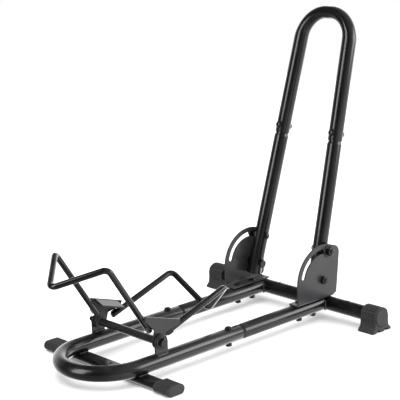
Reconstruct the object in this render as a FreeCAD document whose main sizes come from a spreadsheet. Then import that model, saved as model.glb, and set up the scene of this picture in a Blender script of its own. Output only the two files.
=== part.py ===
import FreeCAD, Part
import math
import os
import re

import Sketcher
from FreeCAD import Placement, Rotation, Vector

# Floor bike rack, millimetres. +Z is up, -Y is the end where the wheel rolls in, and the floor is Z = 0.
# Two rails run back from a front bend to a crossbar. A folding hoop stands on two slotted quadrant
# brackets near the crossbar, and a tilting wheel cradle hangs between two ears near the front.

doc = FreeCAD.newDocument("floor_bike_rack")
sizes = doc.addObject("Spreadsheet::Sheet", "Sizes")

# ------------------------------------------------------------------ driving sizes
DRIVING = (
    # tube stock and base
    ("tube_od", 25.4, "outside of the rails, crossbar and hoop"),
    ("tube_wall", 1.5, "wall of the main tubes"),
    ("rail_spacing", 148.0, "rail centre to rail centre"),
    ("axis_height", 25.0, "rail and crossbar axis above the floor"),
    ("front_bend_setback", 423.5, "crossbar axis forward to the centre of the front bend"),
    ("splice_setback", 209.0, "crossbar axis forward to the open edge of the front tube"),
    ("splice_depth", 50.0, "how far a swaged end reaches into its sleeve"),
    ("splice_bolt_inset", 23.0, "rail splice bolt, from the sleeve's edge"),
    ("swage_gap", 0.1, "radial gap between swaged end and sleeve"),
    ("neck_length", 5.0, "taper from full size to swaged size"),
    ("neck_lead", 1.5, "bare swaged length outside the sleeve"),
    ("vent_radius", 3.0, "vent holes of the crossbar and the foot bar"),
    ("vent_near", 127.5, "crossbar vent on the right arm"),
    ("vent_far", -33.0, "crossbar vent between the rails"),
    # rear feet
    ("rear_width", 406.0, "overall width over the rear feet"),
    ("foot_length", 33.0, "rear foot along the crossbar"),
    ("foot_end_wall", 4.0, "closed end of a rear foot"),
    ("foot_half_base", 23.5, "half of the rear foot's base"),
    ("foot_arch_radius", 17.5, "arch of the rear foot round the crossbar"),
    ("foot_lip", 3.0, "height of the lip round the base"),
    ("foot_notch_height", 4.0, "notches between the lugs"),
    ("foot_notch_inner", 5.5, "half of the middle lug"),
    ("foot_notch_outer", 13.5, "inner edge of the outer lugs"),
    ("foot_notch_taper", 1.0, "how far a notch's sides lean in"),
    ("foot_spring", 30.0, "where the arch meets the skirts, degrees above level"),
    ("foot_disc_radius", 15.5, "raised disc on the foot's end"),
    ("foot_disc_height", 1.0, "how far that disc stands proud"),
    ("foot_groove_radius", 1.1, "grip grooves over the arch"),
    ("socket_gap", 0.05, "radial gap between a tube and its moulded foot"),
    # front foot bar and caps
    ("bar_setback", 418.0, "crossbar axis forward to the foot bar"),
    ("bar_width", 27.0, "flat oval bar, front to back"),
    ("bar_height", 11.0, "flat oval bar, top to bottom"),
    ("bar_wall", 1.5, "wall of the bar"),
    ("front_width", 310.0, "overall width over the front caps"),
    ("cap_length", 36.0, "front cap along the bar"),
    ("cap_width", 34.0, "front cap, front to back"),
    ("cap_height", 16.0, "front cap, top to bottom"),
    ("cap_end_wall", 4.0, "closed end of a front cap"),
    ("cap_groove_radius", 0.9, "grip grooves along the cap"),
    ("cap_groove_pitch", 4.0, "spacing of those grooves"),
    # quadrant brackets
    ("bracket_thickness", 3.0, "sheet of the quadrant brackets"),
    ("bracket_inset", 0.4, "how far the plate's inner face lies inside the rail's outer side"),
    ("bracket_radius", 62.0, "quadrant arc about the hoop pivot"),
    ("bracket_tail", 8.0, "rear end of the flange behind the crossbar axis"),
    ("bracket_corner_back", 42.7, "upper rear corner behind the pivot"),
    ("bracket_corner_rise", 51.1, "upper rear corner above the pivot"),
    ("bracket_corner_radius", 14.0, "rounding of that corner"),
    ("bracket_heel_back", 33.5, "lower rear corner behind the pivot"),
    ("bracket_heel_radius", 5.0, "rounding of that corner"),
    ("bracket_bend", 1.5, "inner radius of the folded flange"),
    ("flange_reach", 6.5, "flange inner edge, inboard of the rail axis"),
    ("bracket_bolt_front", 66.0, "front bracket bolt, forward of the crossbar axis"),
    ("bracket_bolt_back", 30.0, "rear bracket bolt, forward of the crossbar axis"),
    ("slot_radius", 50.0, "slot centre line about the hoop pivot"),
    ("slot_width", 8.5, "slot across"),
    ("slot_reach", 74.0, "front end of the slot, forward of upright, degrees"),
    # hoop
    ("hoop_pivot_setback", 20.0, "hoop pivot forward of the crossbar axis"),
    ("hoop_pivot_rise", 47.7, "hoop pivot above the rail axis"),
    ("hoop_lean", 15.8, "hoop behind upright, degrees"),
    ("hoop_inset", 2.0, "leg axis at the pivot, inboard of the rail axis"),
    ("hoop_height", 455.0, "pivot to the top tube's axis, along the lean"),
    ("hoop_bend_radius", 50.0, "corner bends of the hoop"),
    ("hoop_half_flat", 5.4, "half of the straight top"),
    ("leg_foot", 20.0, "leg below the pivot"),
    ("leg_splice", 237.0, "pivot to the upper tube's open edge"),
    ("leg_bolt_inset", 13.0, "hoop splice bolt, from that edge"),
    # wheel cradle
    ("cradle_setback", 379.0, "cradle pivot forward of the crossbar axis"),
    ("cradle_rise", 30.0, "cradle pivot above the rail axis"),
    ("ear_width", 25.0, "ear strap, front to back"),
    ("ear_thickness", 3.6, "ear strap sheet"),
    ("ear_offset", 2.0, "ear's inner face, outboard of the rail axis"),
    ("rod_od", 10.0, "wire loops of the cradle"),
    ("bush_length", 3.0, "bush between an ear and a side plate"),
    ("arm_length", 160.0, "pivot to the loop's shoulder"),
    ("arm_start", 21.0, "pivot to the welded end of an arm"),
    ("front_arm_angle", 57.5, "front arm above level, degrees"),
    ("rear_arm_angle", 18.5, "rear arm above level, degrees"),
    ("front_vee_length", 67.5, "front loop's shoulder to its point, seen from the side"),
    ("rear_vee_length", 61.0, "rear loop's shoulder to its point, seen from the side"),
    ("front_vee_angle", 25.0, "front loop's point below level, degrees"),
    ("rear_vee_angle", 69.8, "rear loop's point below level, degrees"),
    ("shoulder_bend", 10.0, "bend radius at the loop's shoulders"),
    ("point_bend", 12.0, "bend radius at the loop's point"),
    ("cross_tube_od", 12.7, "tube between the cradle plates"),
    ("cross_tube_wall", 1.2, "its wall"),
    ("plate_thickness", 3.0, "cradle side plates"),
    ("plate_slope", 17.2, "top edge of the side plates, down to the rear, degrees"),
    ("plate_half_top", 36.7, "half of the plate's top edge"),
    ("plate_top", 37.2, "pivot to the plate's top edge"),
    ("plate_side", 29.5, "pivot to the lower end of the plate's short side"),
    ("plate_waist", 15.8, "pivot to the top of the plate's neck"),
    ("neck_half_width", 12.0, "half of the neck, and the rounding below it"),
    ("lip_reach", 22.0, "folded lip, inboard"),
    ("lip_drop", 7.0, "how far the lip falls inboard"),
    ("lip_front", 21.0, "front end of the lip"),
    ("lip_back", 26.0, "rear end of the lip"),
    # fasteners
    ("big_bolt_radius", 4.0, "pivot and slot bolts"),
    ("big_flats", 13.0, "their hexagons across flats"),
    ("big_head", 5.3, "their heads"),
    ("big_nut", 6.8, "their nuts"),
    ("small_bolt_radius", 3.0, "splice and bracket bolts"),
    ("small_flats", 10.0, "their hexagons across flats"),
    ("small_nut", 4.2, "their nuts"),
    ("dome_radius", 6.2, "their domed heads"),
    ("dome_height", 3.6, "height of those heads"),
    ("bolt_tail", 2.2, "thread showing past a large nut"),
    ("small_tail", 1.3, "thread showing past a small nut"),
    ("long_bolt_tail", 8.0, "thread showing past the cradle nut"),
    ("bore_gap", 0.05, "radial gap of a turning or threaded fit"),
    ("hole_gap", 0.25, "radial gap of a plain bolt hole"),
    ("washer_radius", 11.0, "large washers"),
    ("washer_thickness", 1.6, "their thickness"),
    ("spacer_radius", 7.0, "spacers behind the slot"),
    ("thrust_radius", 8.0, "thin washers at the hoop pivot"),
    ("pivot_gap", 0.3, "room between a leg and the washer and bolt head at its pivot"),
    ("slot_gap", 0.1, "room between a leg and the spacer and bolt head at the slot"),
)

# ------------------------------------------------------------------ places worked out from them
DERIVED = (
    ("rail_x", "rail_spacing / 2"),
    ("hoop_half_width", "rail_x - hoop_inset"),
    ("ear_inner", "rail_x + ear_offset"),
    ("side_plate_x", "ear_inner - bush_length - plate_thickness"),
    ("loop_half_width", "side_plate_x - rod_od / 2"),
    ("tube_radius", "tube_od / 2"),
    ("tube_bore", "tube_radius - tube_wall"),
    ("swage_radius", "tube_bore - swage_gap"),
    ("swage_bore", "swage_radius - tube_wall"),
    ("point_inset", "point_bend * (1 / sin(atan(loop_half_width / front_vee_length)) - 1)"),
    ("vee_forward", "(front_vee_length - point_inset) * cos(front_vee_angle)"),
    ("front_reach", "cradle_setback + arm_length * cos(front_arm_angle) + vee_forward + rod_od / 2"),
    ("rear_reach", "hoop_height * sin(hoop_lean) - hoop_pivot_setback + tube_radius"),
    ("crossbar_y", "(front_reach - rear_reach) / 2"),
    ("front_bend_y", "crossbar_y - front_bend_setback"),
    ("splice_y", "crossbar_y - splice_setback"),
    ("splice_bolt_y", "splice_y - splice_bolt_inset"),
    ("rail_top", "axis_height + tube_radius"),
    ("rail_bottom", "axis_height - tube_radius"),
    ("bar_y", "crossbar_y - bar_setback"),
    ("bar_z", "rail_bottom - bar_height / 2"),
    ("foot_outer", "rear_width / 2 - foot_disc_height"),
    ("foot_inner", "foot_outer - foot_length"),
    ("cap_outer", "front_width / 2"),
    ("cap_inner", "cap_outer - cap_length"),
    ("plate_inner_x", "rail_x + tube_radius - bracket_inset"),
    ("plate_outer_x", "plate_inner_x + bracket_thickness"),
    ("flange_top", "rail_top + bracket_thickness"),
    ("fold_top", "flange_top + bracket_bend"),
    ("hoop_y", "crossbar_y - hoop_pivot_setback"),
    ("hoop_z", "axis_height + hoop_pivot_rise"),
    ("bend_centre", "hoop_height - hoop_bend_radius"),
    ("bend_offset", "hoop_half_width - hoop_half_flat"),
    ("bend_distance", "sqrt(bend_offset ^ 2 + bend_centre ^ 2)"),
    ("leg_splay", "atan(bend_offset / bend_centre) - asin(hoop_bend_radius / bend_distance)"),
    ("leg_slope", "tan(leg_splay)"),
    ("leg_bolt", "leg_splice + leg_bolt_inset"),
    ("slot_leg_x", "hoop_half_width - slot_radius * leg_slope"),
    ("cradle_y", "crossbar_y - cradle_setback"),
    ("cradle_z", "axis_height + cradle_rise"),
    ("side_plate_outer", "side_plate_x + plate_thickness"),
    ("ear_outer", "ear_inner + ear_thickness"),
    ("disc_inner", "side_plate_x - washer_thickness"),
)
NAMES = {row[0] for row in DRIVING + DERIVED}


def formula(text):
    """The same sum with every size's name pointed at the sheet."""
    return re.sub(r"[a-z]\w*", lambda word: f"Sizes.{word[0]}" if word[0] in NAMES else word[0], text)


def number(text):
    """Value of a sum of sizes."""
    return float(sizes.evalExpression(formula(text)))


def bind(item, **sums):
    """Tie properties to sums of sizes; a double underscore stands for a dot."""
    for name, text in sums.items():
        item.setExpression(name.replace("__", "."), formula(text))


for line, (alias, value, note) in enumerate(DRIVING, 1):
    sizes.set(f"A{line}", note)
    sizes.set(f"B{line}", str(value))
    sizes.setAlias(f"B{line}", alias)
for line, (alias, text) in enumerate(DERIVED, len(DRIVING) + 1):
    sizes.set(f"B{line}", "=" + text)
    sizes.setAlias(f"B{line}", alias)
doc.recompute()

ALONG_X = Rotation(Vector(0, 0, 1), Vector(1, 0, 0))
AGAINST_X = Rotation(Vector(0, 0, 1), Vector(-1, 0, 0))
DOWN = Rotation(Vector(0, 0, 1), Vector(0, 0, -1))
BACK_LEAN = Rotation(Vector(1, 0, 0), -number("hoop_lean"))
SIDES = (("right", 1), ("left", -1))
FOOT_GROOVES = (42, 58, 74, 90, 106, 122, 138)  # degrees round the arch
CAP_GROOVES = (60, 30, 0)  # degrees round each end of the cap
CAP_TOP_GROOVES = (-2, -1, 0, 1, 2)  # pitches from the middle of its flat top
UPRIGHT_ANGLE = 90  # straight up, in a sketch's own degrees
nodes = []


# ------------------------------------------------------------------ sketches and features
def new_body(label):
    """Empty body."""
    body = doc.addObject("PartDesign::Body", label)
    body.Label = label
    return body


def sketch_on(body, role, name, offset="0"):
    """Sketch on one of the body's own origin planes, moved along that plane's normal."""
    plane = next(item for item in body.Origin.OriginFeatures if item.Role == role)
    sketch = body.newObject("Sketcher::SketchObject", name)
    sketch.AttachmentSupport = (plane, [""])
    sketch.MapMode = "FlatFace"
    bind(sketch, AttachmentOffset__Base__z=offset)
    return sketch


def pin(sketch, geometry, vertex, across, up):
    """Hold a point of the sketch at two sums of sizes."""
    for kind, text in (("DistanceX", across), ("DistanceY", up)):
        rule = sketch.addConstraint(Sketcher.Constraint(kind, -1, 1, geometry, vertex, number(text)))
        sketch.setExpression(f"Constraints[{rule}]", formula(text))


def polygon(sketch, corners):
    """Closed outline of straight edges through corners given as pairs of sums."""
    points = [Vector(number(across), number(up)) for across, up in corners]
    for start, end in zip(points, points[1:] + points[:1]):
        sketch.addGeometry(Part.LineSegment(start, end))
    for index, (across, up) in enumerate(corners):
        before = (index - 1) % len(corners)
        sketch.addConstraint(Sketcher.Constraint("Coincident", before, 2, index, 1))
        pin(sketch, index, 1, across, up)


def circle(sketch, across, up, radius):
    """Circle whose centre and radius are sums of sizes."""
    centre = Vector(number(across), number(up))
    index = sketch.addGeometry(Part.Circle(centre, Vector(0, 0, 1), number(radius)))
    pin(sketch, index, 3, across, up)
    rule = sketch.addConstraint(Sketcher.Constraint("Radius", index, number(radius)))
    sketch.setExpression(f"Constraints[{rule}]", formula(radius))


def pad(body, sketch, length, both_ways=False):
    """Pad of a sketch along its normal."""
    feature = body.newObject("PartDesign::Pad", "pad")
    feature.Profile = sketch
    feature.Midplane = both_ways
    bind(feature, Length=length)
    doc.recompute()
    return feature


def pocket(body, sketch, length, both_ways=False):
    """Cut against the sketch's normal, or along it where that is the way into the solid."""
    before = body.Shape.Volume
    feature = body.newObject("PartDesign::Pocket", "pocket")
    feature.Profile = sketch
    feature.Midplane = both_ways
    bind(feature, Length=length)
    doc.recompute()
    if body.Shape.Volume > before - 0.01:
        feature.Reversed = True
        doc.recompute()
    assert body.Shape.Volume < before - 0.01, body.Label
    return feature


def bore(body, radius, centre, axis, length):
    """Round hole through the body, centred on a point, along an axis of the body's own frame."""
    feature = body.newObject("PartDesign::SubtractiveCylinder", "bore")
    bind(feature, Radius=radius)
    feature.Height = length
    feature.Placement = Placement(centre - axis * (length / 2), Rotation(Vector(0, 0, 1), axis))
    doc.recompute()


def revolve(body, corners):
    """Solid of revolution about the body's Z axis, from corners given as (radius, height)."""
    sketch = sketch_on(body, "XZ_Plane", "half_section")
    polygon(sketch, corners)
    feature = body.newObject("PartDesign::Revolution", "turned")
    feature.Profile = sketch
    feature.ReferenceAxis = (sketch, ["V_Axis"])
    feature.Angle = 360
    doc.recompute()


def keep(item, label=None):
    """Count a finished object among the rack's pieces."""
    item.Label = label or item.Label
    nodes.append(item)
    return item


def keep_pair(item, name):
    """Keep a right-hand piece and its mirror image."""
    keep(item, f"{name}_right")
    twin = doc.addObject("Part::Mirroring", f"{name}_left")
    twin.Source = item
    twin.Normal = Vector(1, 0, 0)
    keep(twin, f"{name}_left")


def group(name, solids):
    """Identical fasteners as one node of separate solids."""
    bundle = doc.addObject("Part::Compound", name)
    bundle.Links = solids
    return keep(bundle, name)


# ------------------------------------------------------------------ fasteners
def hexagon(flats, height, below=False):
    """Hexagonal prism on Z, standing on or hanging from the origin."""
    prism = doc.addObject("Part::Prism", "hexagon")
    prism.Polygon = 6
    bind(prism, Circumradius=f"{flats} / sqrt(3)", Height=height)
    if below:
        bind(prism, Placement__Base__z=f"-({height})")
    return prism


def shank(radius, length, start="0"):
    """Plain cylinder along Z."""
    cylinder = doc.addObject("Part::Cylinder", "shank")
    bind(cylinder, Radius=radius, Height=length, Placement__Base__z=start)
    return cylinder


def hex_bolt(place, length):
    """Large bolt: head behind the origin, shank along +Z."""
    bolt = doc.addObject("Part::Fuse", "hex_bolt")
    bolt.Base = hexagon("big_flats", "big_head", below=True)
    bolt.Tool = shank("big_bolt_radius", f"{length} + 0.5 * big_head", "-0.5 * big_head")
    bolt.Placement = place
    return bolt


def dome_bolt(place, length, radius="small_bolt_radius"):
    """Bolt with a domed head behind the origin, shank along +Z."""
    reach = "((dome_radius ^ 2 + dome_height ^ 2) / (2 * dome_height))"
    dome = doc.addObject("Part::Sphere", "dome")
    bind(dome, Radius=reach, Angle2=f"-asin(({reach} - dome_height) / {reach})")
    dome.Angle1 = -90
    bind(dome, Placement__Base__z=f"{reach} - dome_height")
    bolt = doc.addObject("Part::Fuse", "dome_bolt")
    bolt.Base = dome
    bolt.Tool = shank(radius, f"{length} + 0.5 * dome_height", "-0.5 * dome_height")
    bolt.Placement = place
    return bolt


def nut(place, flats, height, bolt_radius):
    """Hexagonal nut from the origin along +Z."""
    item = doc.addObject("Part::Cut", "nut")
    item.Base = hexagon(flats, height)
    item.Tool = shank(f"{bolt_radius} + bore_gap", height)
    item.Placement = place
    return item


def washer(place, radius, thickness, gap="bore_gap"):
    """Flat ring for a large bolt, from the origin along +Z."""
    item = doc.addObject("Part::Cut", "washer")
    item.Base = shank(radius, thickness)
    item.Tool = shank(f"big_bolt_radius + {gap}", thickness)
    item.Placement = place
    return item


# ------------------------------------------------------------------ base frame
def front_rail_loop():
    """Front tube: two rails joined by the half-round bend, open ends to the rear."""
    body = new_body("front_rail_loop")
    side, bend, edge = number("rail_x"), number("front_bend_y"), number("splice_y")
    path = sketch_on(body, "XY_Plane", "path", "axis_height")
    path.addGeometry(Part.LineSegment(Vector(side, edge), Vector(side, bend)))
    path.addGeometry(Part.Arc(Vector(side, bend), Vector(0, bend - side), Vector(-side, bend)))
    path.addGeometry(Part.LineSegment(Vector(-side, bend), Vector(-side, edge)))
    ring = sketch_on(body, "XZ_Plane", "ring", "-splice_y")
    circle(ring, "rail_x", "axis_height", "tube_radius")
    circle(ring, "rail_x", "axis_height", "tube_bore")
    sweep = body.newObject("PartDesign::AdditivePipe", "sweep")
    sweep.Profile = ring
    sweep.Spine = (path, ["Edge1", "Edge2", "Edge3"])
    doc.recompute()
    holes = sketch_on(body, "XY_Plane", "bolt_holes", "axis_height")
    for _, sign in SIDES:
        circle(holes, f"{sign} * rail_x", "splice_bolt_y", "small_bolt_radius + hole_gap")
    pocket(body, holes, "2 * tube_od", both_ways=True)
    keep(body)


def rear_rail():
    """Rear rail: full-size tube from the crossbar, necked down to enter the front tube."""
    body = new_body("rear_rail_right")
    end = "splice_setback + splice_depth"
    neck = "splice_setback - neck_lead"
    revolve(body, (
        ("tube_bore", "0"), ("tube_radius", "0"),
        ("tube_radius", f"{neck} - neck_length"), ("swage_radius", neck), ("swage_radius", end),
        ("swage_bore", end), ("swage_bore", neck), ("tube_bore", f"{neck} - neck_length"),
    ))
    reach = 4 * number("tube_radius")
    across, upright = Vector(1, 0, 0), Vector(0, 1, 0)
    bore(body, "tube_radius", Vector(0, 0, 0), across, reach)
    for run, radius in (("splice_setback + splice_bolt_inset", "small_bolt_radius + hole_gap"),
                        ("bracket_bolt_front", "small_bolt_radius + hole_gap"),
                        ("bracket_bolt_back", "small_bolt_radius + hole_gap")):
        bore(body, radius, Vector(0, 0, number(run)), upright, reach)
    body.Placement.Rotation = Rotation(Vector(1, 0, 0), 90)
    bind(body, Placement__Base__x="rail_x", Placement__Base__y="crossbar_y", Placement__Base__z="axis_height")
    keep_pair(body, "rear_rail")


def rear_crossbar():
    """Crossbar through to the closed ends of the rear feet, with two vent holes on top."""
    body = new_body("rear_crossbar")
    ring = sketch_on(body, "YZ_Plane", "ring")
    circle(ring, "crossbar_y", "axis_height", "tube_radius")
    circle(ring, "crossbar_y", "axis_height", "tube_bore")
    pad(body, ring, "2 * (foot_outer - foot_end_wall)", both_ways=True)
    vents = sketch_on(body, "XY_Plane", "vents", "axis_height")
    circle(vents, "vent_near", "crossbar_y", "vent_radius")
    circle(vents, "vent_far", "crossbar_y", "vent_radius")
    cut = pocket(body, vents, "tube_od")
    cut.Reversed = True
    doc.recompute()
    keep(body)


def rear_foot():
    """Moulded rear foot: arch round the crossbar, flared skirts, three lugs on the floor."""
    body = new_body("rear_foot_right")
    arch, half_base, lip = number("foot_arch_radius"), number("foot_half_base"), number("foot_lip")
    level, middle = number("axis_height"), number("crossbar_y")
    spring, taper = math.radians(number("foot_spring")), number("foot_notch_taper")
    notch = number("foot_notch_height")
    inner, outer = number("foot_notch_inner"), number("foot_notch_outer")
    skirt = (
        (arch * math.cos(spring), level + arch * math.sin(spring)), (half_base - 2 * lip, 3 * lip),
        (half_base - lip, 2 * lip), (half_base, lip), (half_base, 0), (outer, 0),
        (outer - taper, notch), (inner + taper, notch), (inner, 0),
    )
    right_side = [Vector(middle + across, up) for across, up in skirt]
    left_side = [Vector(middle - across, up) for across, up in reversed(skirt)]
    corners = right_side + left_side
    outline = sketch_on(body, "YZ_Plane", "outline", "foot_inner")
    for start, end in zip(corners, corners[1:]):
        outline.addGeometry(Part.LineSegment(start, end))
    outline.addGeometry(Part.Arc(corners[-1], Vector(middle, level + arch), corners[0]))
    pad(body, outline, "foot_length")
    socket = sketch_on(body, "YZ_Plane", "socket", "foot_inner")
    circle(socket, "crossbar_y", "axis_height", "tube_radius + socket_gap")
    pocket(body, socket, "foot_length - foot_end_wall")
    grooves = sketch_on(body, "YZ_Plane", "grooves", "foot_inner")
    for angle in FOOT_GROOVES:
        circle(grooves, f"crossbar_y + foot_arch_radius * cos({angle})",
               f"axis_height + foot_arch_radius * sin({angle})", "foot_groove_radius")
    pocket(body, grooves, "foot_length - foot_end_wall")
    disc = sketch_on(body, "YZ_Plane", "disc", "foot_outer")
    circle(disc, "crossbar_y", "axis_height", "foot_disc_radius")
    pad(body, disc, "foot_disc_height")
    keep_pair(body, "rear_foot")


def oval(sketch, centre_y, centre_z, width, height):
    """Flat oval: two straight sides and two half-round ends, on a YZ sketch."""
    middle, level = number(centre_y), number(centre_z)
    radius = number(height) / 2
    half = number(width) / 2 - radius
    for end in (1, -1):
        top = Vector(middle + end * half, level + end * radius)
        far = Vector(middle + end * (half + radius), level)
        low = Vector(middle + end * half, level - end * radius)
        sketch.addGeometry(Part.Arc(top, far, low))
        sketch.addGeometry(Part.LineSegment(low, Vector(middle - end * half, level - end * radius)))


def front_foot_bar():
    """Flat oval bar under the rails, with a vent hole in the middle of its top."""
    body = new_body("front_foot_bar")
    ring = sketch_on(body, "YZ_Plane", "ring")
    oval(ring, "bar_y", "bar_z", "bar_width", "bar_height")
    oval(ring, "bar_y", "bar_z", "bar_width - 2 * bar_wall", "bar_height - 2 * bar_wall")
    pad(body, ring, "2 * (cap_outer - cap_end_wall)", both_ways=True)
    vent = sketch_on(body, "XY_Plane", "vent", "bar_z")
    circle(vent, "0", "bar_y", "vent_radius")
    cut = pocket(body, vent, "bar_height")
    cut.Reversed = True
    doc.recompute()
    keep(body)


def front_foot_cap():
    """Grooved cap over each end of the foot bar, standing on the floor."""
    body = new_body("front_foot_cap_right")
    outline = sketch_on(body, "YZ_Plane", "outline", "cap_inner")
    oval(outline, "bar_y", "cap_height / 2", "cap_width", "cap_height")
    pad(body, outline, "cap_length")
    socket = sketch_on(body, "YZ_Plane", "socket", "cap_inner")
    oval(socket, "bar_y", "bar_z", "bar_width + 2 * socket_gap", "bar_height + 2 * socket_gap")
    pocket(body, socket, "cap_length - cap_end_wall")
    grooves = sketch_on(body, "YZ_Plane", "grooves", "cap_inner")
    for step in CAP_TOP_GROOVES:
        circle(grooves, f"bar_y + {step} * cap_groove_pitch", "cap_height", "cap_groove_radius")
    for end in (1, -1):
        for angle in CAP_GROOVES:
            circle(grooves, f"bar_y + {end} * (cap_width / 2 - cap_height / 2 * (1 - cos({angle})))",
                   f"cap_height / 2 * (1 + sin({angle}))", "cap_groove_radius")
    pocket(body, grooves, "cap_length - cap_end_wall")
    keep_pair(body, "front_foot_cap")


# ------------------------------------------------------------------ quadrant brackets
def arc_round(centre, radius, start, end):
    """Arc about a centre between two angles, degrees anticlockwise from the first axis."""
    points = []
    for angle in (start, (start + end) / 2, end):
        turn = math.radians(angle)
        points.append(centre + Vector(radius * math.cos(turn), radius * math.sin(turn)))
    return Part.Arc(*points)


def rounded(corner, before, after, radius):
    """Tangent points and arc that round a corner between two neighbours."""
    back = (before - corner).normalize()
    ahead = (after - corner).normalize()
    half = back.getAngle(ahead) / 2
    run = radius / math.tan(half)
    middle = corner + (back + ahead).normalize() * (radius / math.sin(half) - radius)
    start, end = corner + back * run, corner + ahead * run
    return start, Part.Arc(start, middle, end), end


def bracket_outline(sketch):
    """Quadrant: upright front edge, arc about the pivot, straight fall to the rear corner."""
    pivot = Vector(number("hoop_y"), number("hoop_z"))
    radius, low = number("bracket_radius"), number("fold_top")
    corner = pivot + Vector(number("bracket_corner_back"), number("bracket_corner_rise"))
    toward = math.degrees(math.atan2(corner.y - pivot.y, corner.x - pivot.x))
    leave = toward + math.degrees(math.acos(radius / pivot.distanceToPoint(corner)))
    sweep = arc_round(pivot, radius, 180, leave)
    heel = Vector(pivot.x + number("bracket_heel_back"), low)
    front_low = Vector(pivot.x - radius, low)
    corner_in, corner_arc, corner_out = rounded(corner, sweep.EndPoint, heel, number("bracket_corner_radius"))
    heel_in, heel_arc, heel_out = rounded(heel, corner, front_low, number("bracket_heel_radius"))
    for piece in (
        Part.LineSegment(front_low, sweep.StartPoint), sweep, Part.LineSegment(sweep.EndPoint, corner_in),
        corner_arc, Part.LineSegment(corner_out, heel_in), heel_arc, Part.LineSegment(heel_out, front_low),
    ):
        sketch.addGeometry(piece)


def fold_section(sketch):
    """Flange and bend of the bracket, seen from the front."""
    edge, outer, inner = number("rail_x - flange_reach"), number("plate_outer_x"), number("plate_inner_x")
    low, high, bend = number("rail_top"), number("flange_top"), number("bracket_bend")
    centre = Vector(inner - bend, high + bend)
    outside = arc_round(centre, outer - centre.x, 270, 360)
    inside = arc_round(centre, bend, 360, 270)
    for piece in (
        Part.LineSegment(Vector(edge, low), outside.StartPoint), outside,
        Part.LineSegment(outside.EndPoint, inside.StartPoint), inside,
        Part.LineSegment(inside.EndPoint, Vector(edge, high)),
        Part.LineSegment(Vector(edge, high), Vector(edge, low)),
    ):
        sketch.addGeometry(piece)


def quadrant_bracket():
    """Folded bracket: slotted upright plate and a flange that lies on the rail."""
    body = new_body("quadrant_bracket_right")
    plate = sketch_on(body, "YZ_Plane", "plate", "plate_inner_x")
    bracket_outline(plate)
    pad(body, plate, "bracket_thickness")
    fold = sketch_on(body, "XZ_Plane", "fold", "-(crossbar_y + bracket_tail)")
    fold_section(fold)
    pad(body, fold, "bracket_tail + hoop_pivot_setback + bracket_radius")
    slot = sketch_on(body, "YZ_Plane", "slot", "plate_inner_x")
    pivot = Vector(number("hoop_y"), number("hoop_z"))
    middle, half = number("slot_radius"), number("slot_width") / 2
    back, front = UPRIGHT_ANGLE - number("hoop_lean"), UPRIGHT_ANGLE + number("slot_reach")
    for end, turn in ((back, -1), (front, 1)):
        centre = arc_round(pivot, middle, end, end + 1).StartPoint
        slot.addGeometry(arc_round(centre, half, end, end + 180 * turn))
    slot.addGeometry(arc_round(pivot, middle + half, back, front))
    slot.addGeometry(arc_round(pivot, middle - half, back, front))
    pocket(body, slot, "3 * bracket_thickness", both_ways=True)
    pin_hole = sketch_on(body, "YZ_Plane", "pin_hole", "plate_inner_x")
    circle(pin_hole, "hoop_y", "hoop_z", "big_bolt_radius + bore_gap")
    pocket(body, pin_hole, "3 * bracket_thickness", both_ways=True)
    bolt_holes = sketch_on(body, "XY_Plane", "bolt_holes", "flange_top")
    for run in ("bracket_bolt_front", "bracket_bolt_back"):
        circle(bolt_holes, "rail_x", f"crossbar_y - {run}", "small_bolt_radius + hole_gap")
    pocket(body, bolt_holes, "bracket_thickness")
    keep_pair(body, "quadrant_bracket")


# ------------------------------------------------------------------ folding hoop
def hoop_point(across, along):
    """Place on the leaning hoop: across from the middle, and along the lean from the pivot."""
    lean = math.radians(number("hoop_lean"))
    back, rise = along * math.sin(lean), along * math.cos(lean)
    return Vector(across, number("hoop_y") + back, number("hoop_z") + rise)


def leg_x(along):
    """Leg axis from the middle at a height along the hoop."""
    return number("hoop_half_width") - along * number("leg_slope")


def hoop_top_tube():
    """Upper tube of the hoop, bent over the top, a sleeve at both lower ends."""
    body = new_body("hoop_top_tube")
    splay = number("leg_splay")
    turn = math.radians(splay)
    radius, flat, top = number("hoop_bend_radius"), number("hoop_half_flat"), number("hoop_height")
    start = Vector(number("hoop_half_width - leg_splice * sin(leg_splay)"), number("leg_splice * cos(leg_splay)"))
    centre = Vector(flat, top - radius)
    leave = centre + Vector(radius * math.cos(turn), radius * math.sin(turn))
    crown = Vector(flat, top)
    shoulder = arc_round(centre, radius, splay, 90)
    mirrored = arc_round(Vector(-flat, top - radius), radius, 90, 180 - splay)
    path = sketch_on(body, "XZ_Plane", "path")
    for piece in (
        Part.LineSegment(start, leave), shoulder, Part.LineSegment(crown, Vector(-flat, top)),
        mirrored, Part.LineSegment(Vector(-leave.x, leave.y), Vector(-start.x, start.y)),
    ):
        path.addGeometry(piece)
    ring = sketch_on(body, "XY_Plane", "ring")
    ring.setExpression("AttachmentOffset.Base.z", None)
    ring.AttachmentOffset = Placement(Vector(start.x, 0, start.y), Rotation(Vector(0, 1, 0), -splay))
    circle(ring, "0", "0", "tube_radius")
    circle(ring, "0", "0", "tube_bore")
    sweep = body.newObject("PartDesign::AdditivePipe", "sweep")
    sweep.Profile = ring
    sweep.Spine = (path, [f"Edge{count}" for count in range(1, 6)])
    doc.recompute()
    height = number("leg_bolt * cos(leg_splay)")
    for _, sign in SIDES:
        centre = Vector(sign * leg_x(height), 0, height)
        bore(body, "small_bolt_radius + hole_gap", centre, Vector(0, 1, 0), 4 * number("tube_radius"))
    stand_hoop(body)
    keep(body)


def stand_hoop(body):
    """Put a body drawn upright at the pivot onto the leaning hoop."""
    body.Placement.Rotation = BACK_LEAN
    bind(body, Placement__Base__y="hoop_y", Placement__Base__z="hoop_z")


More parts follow.
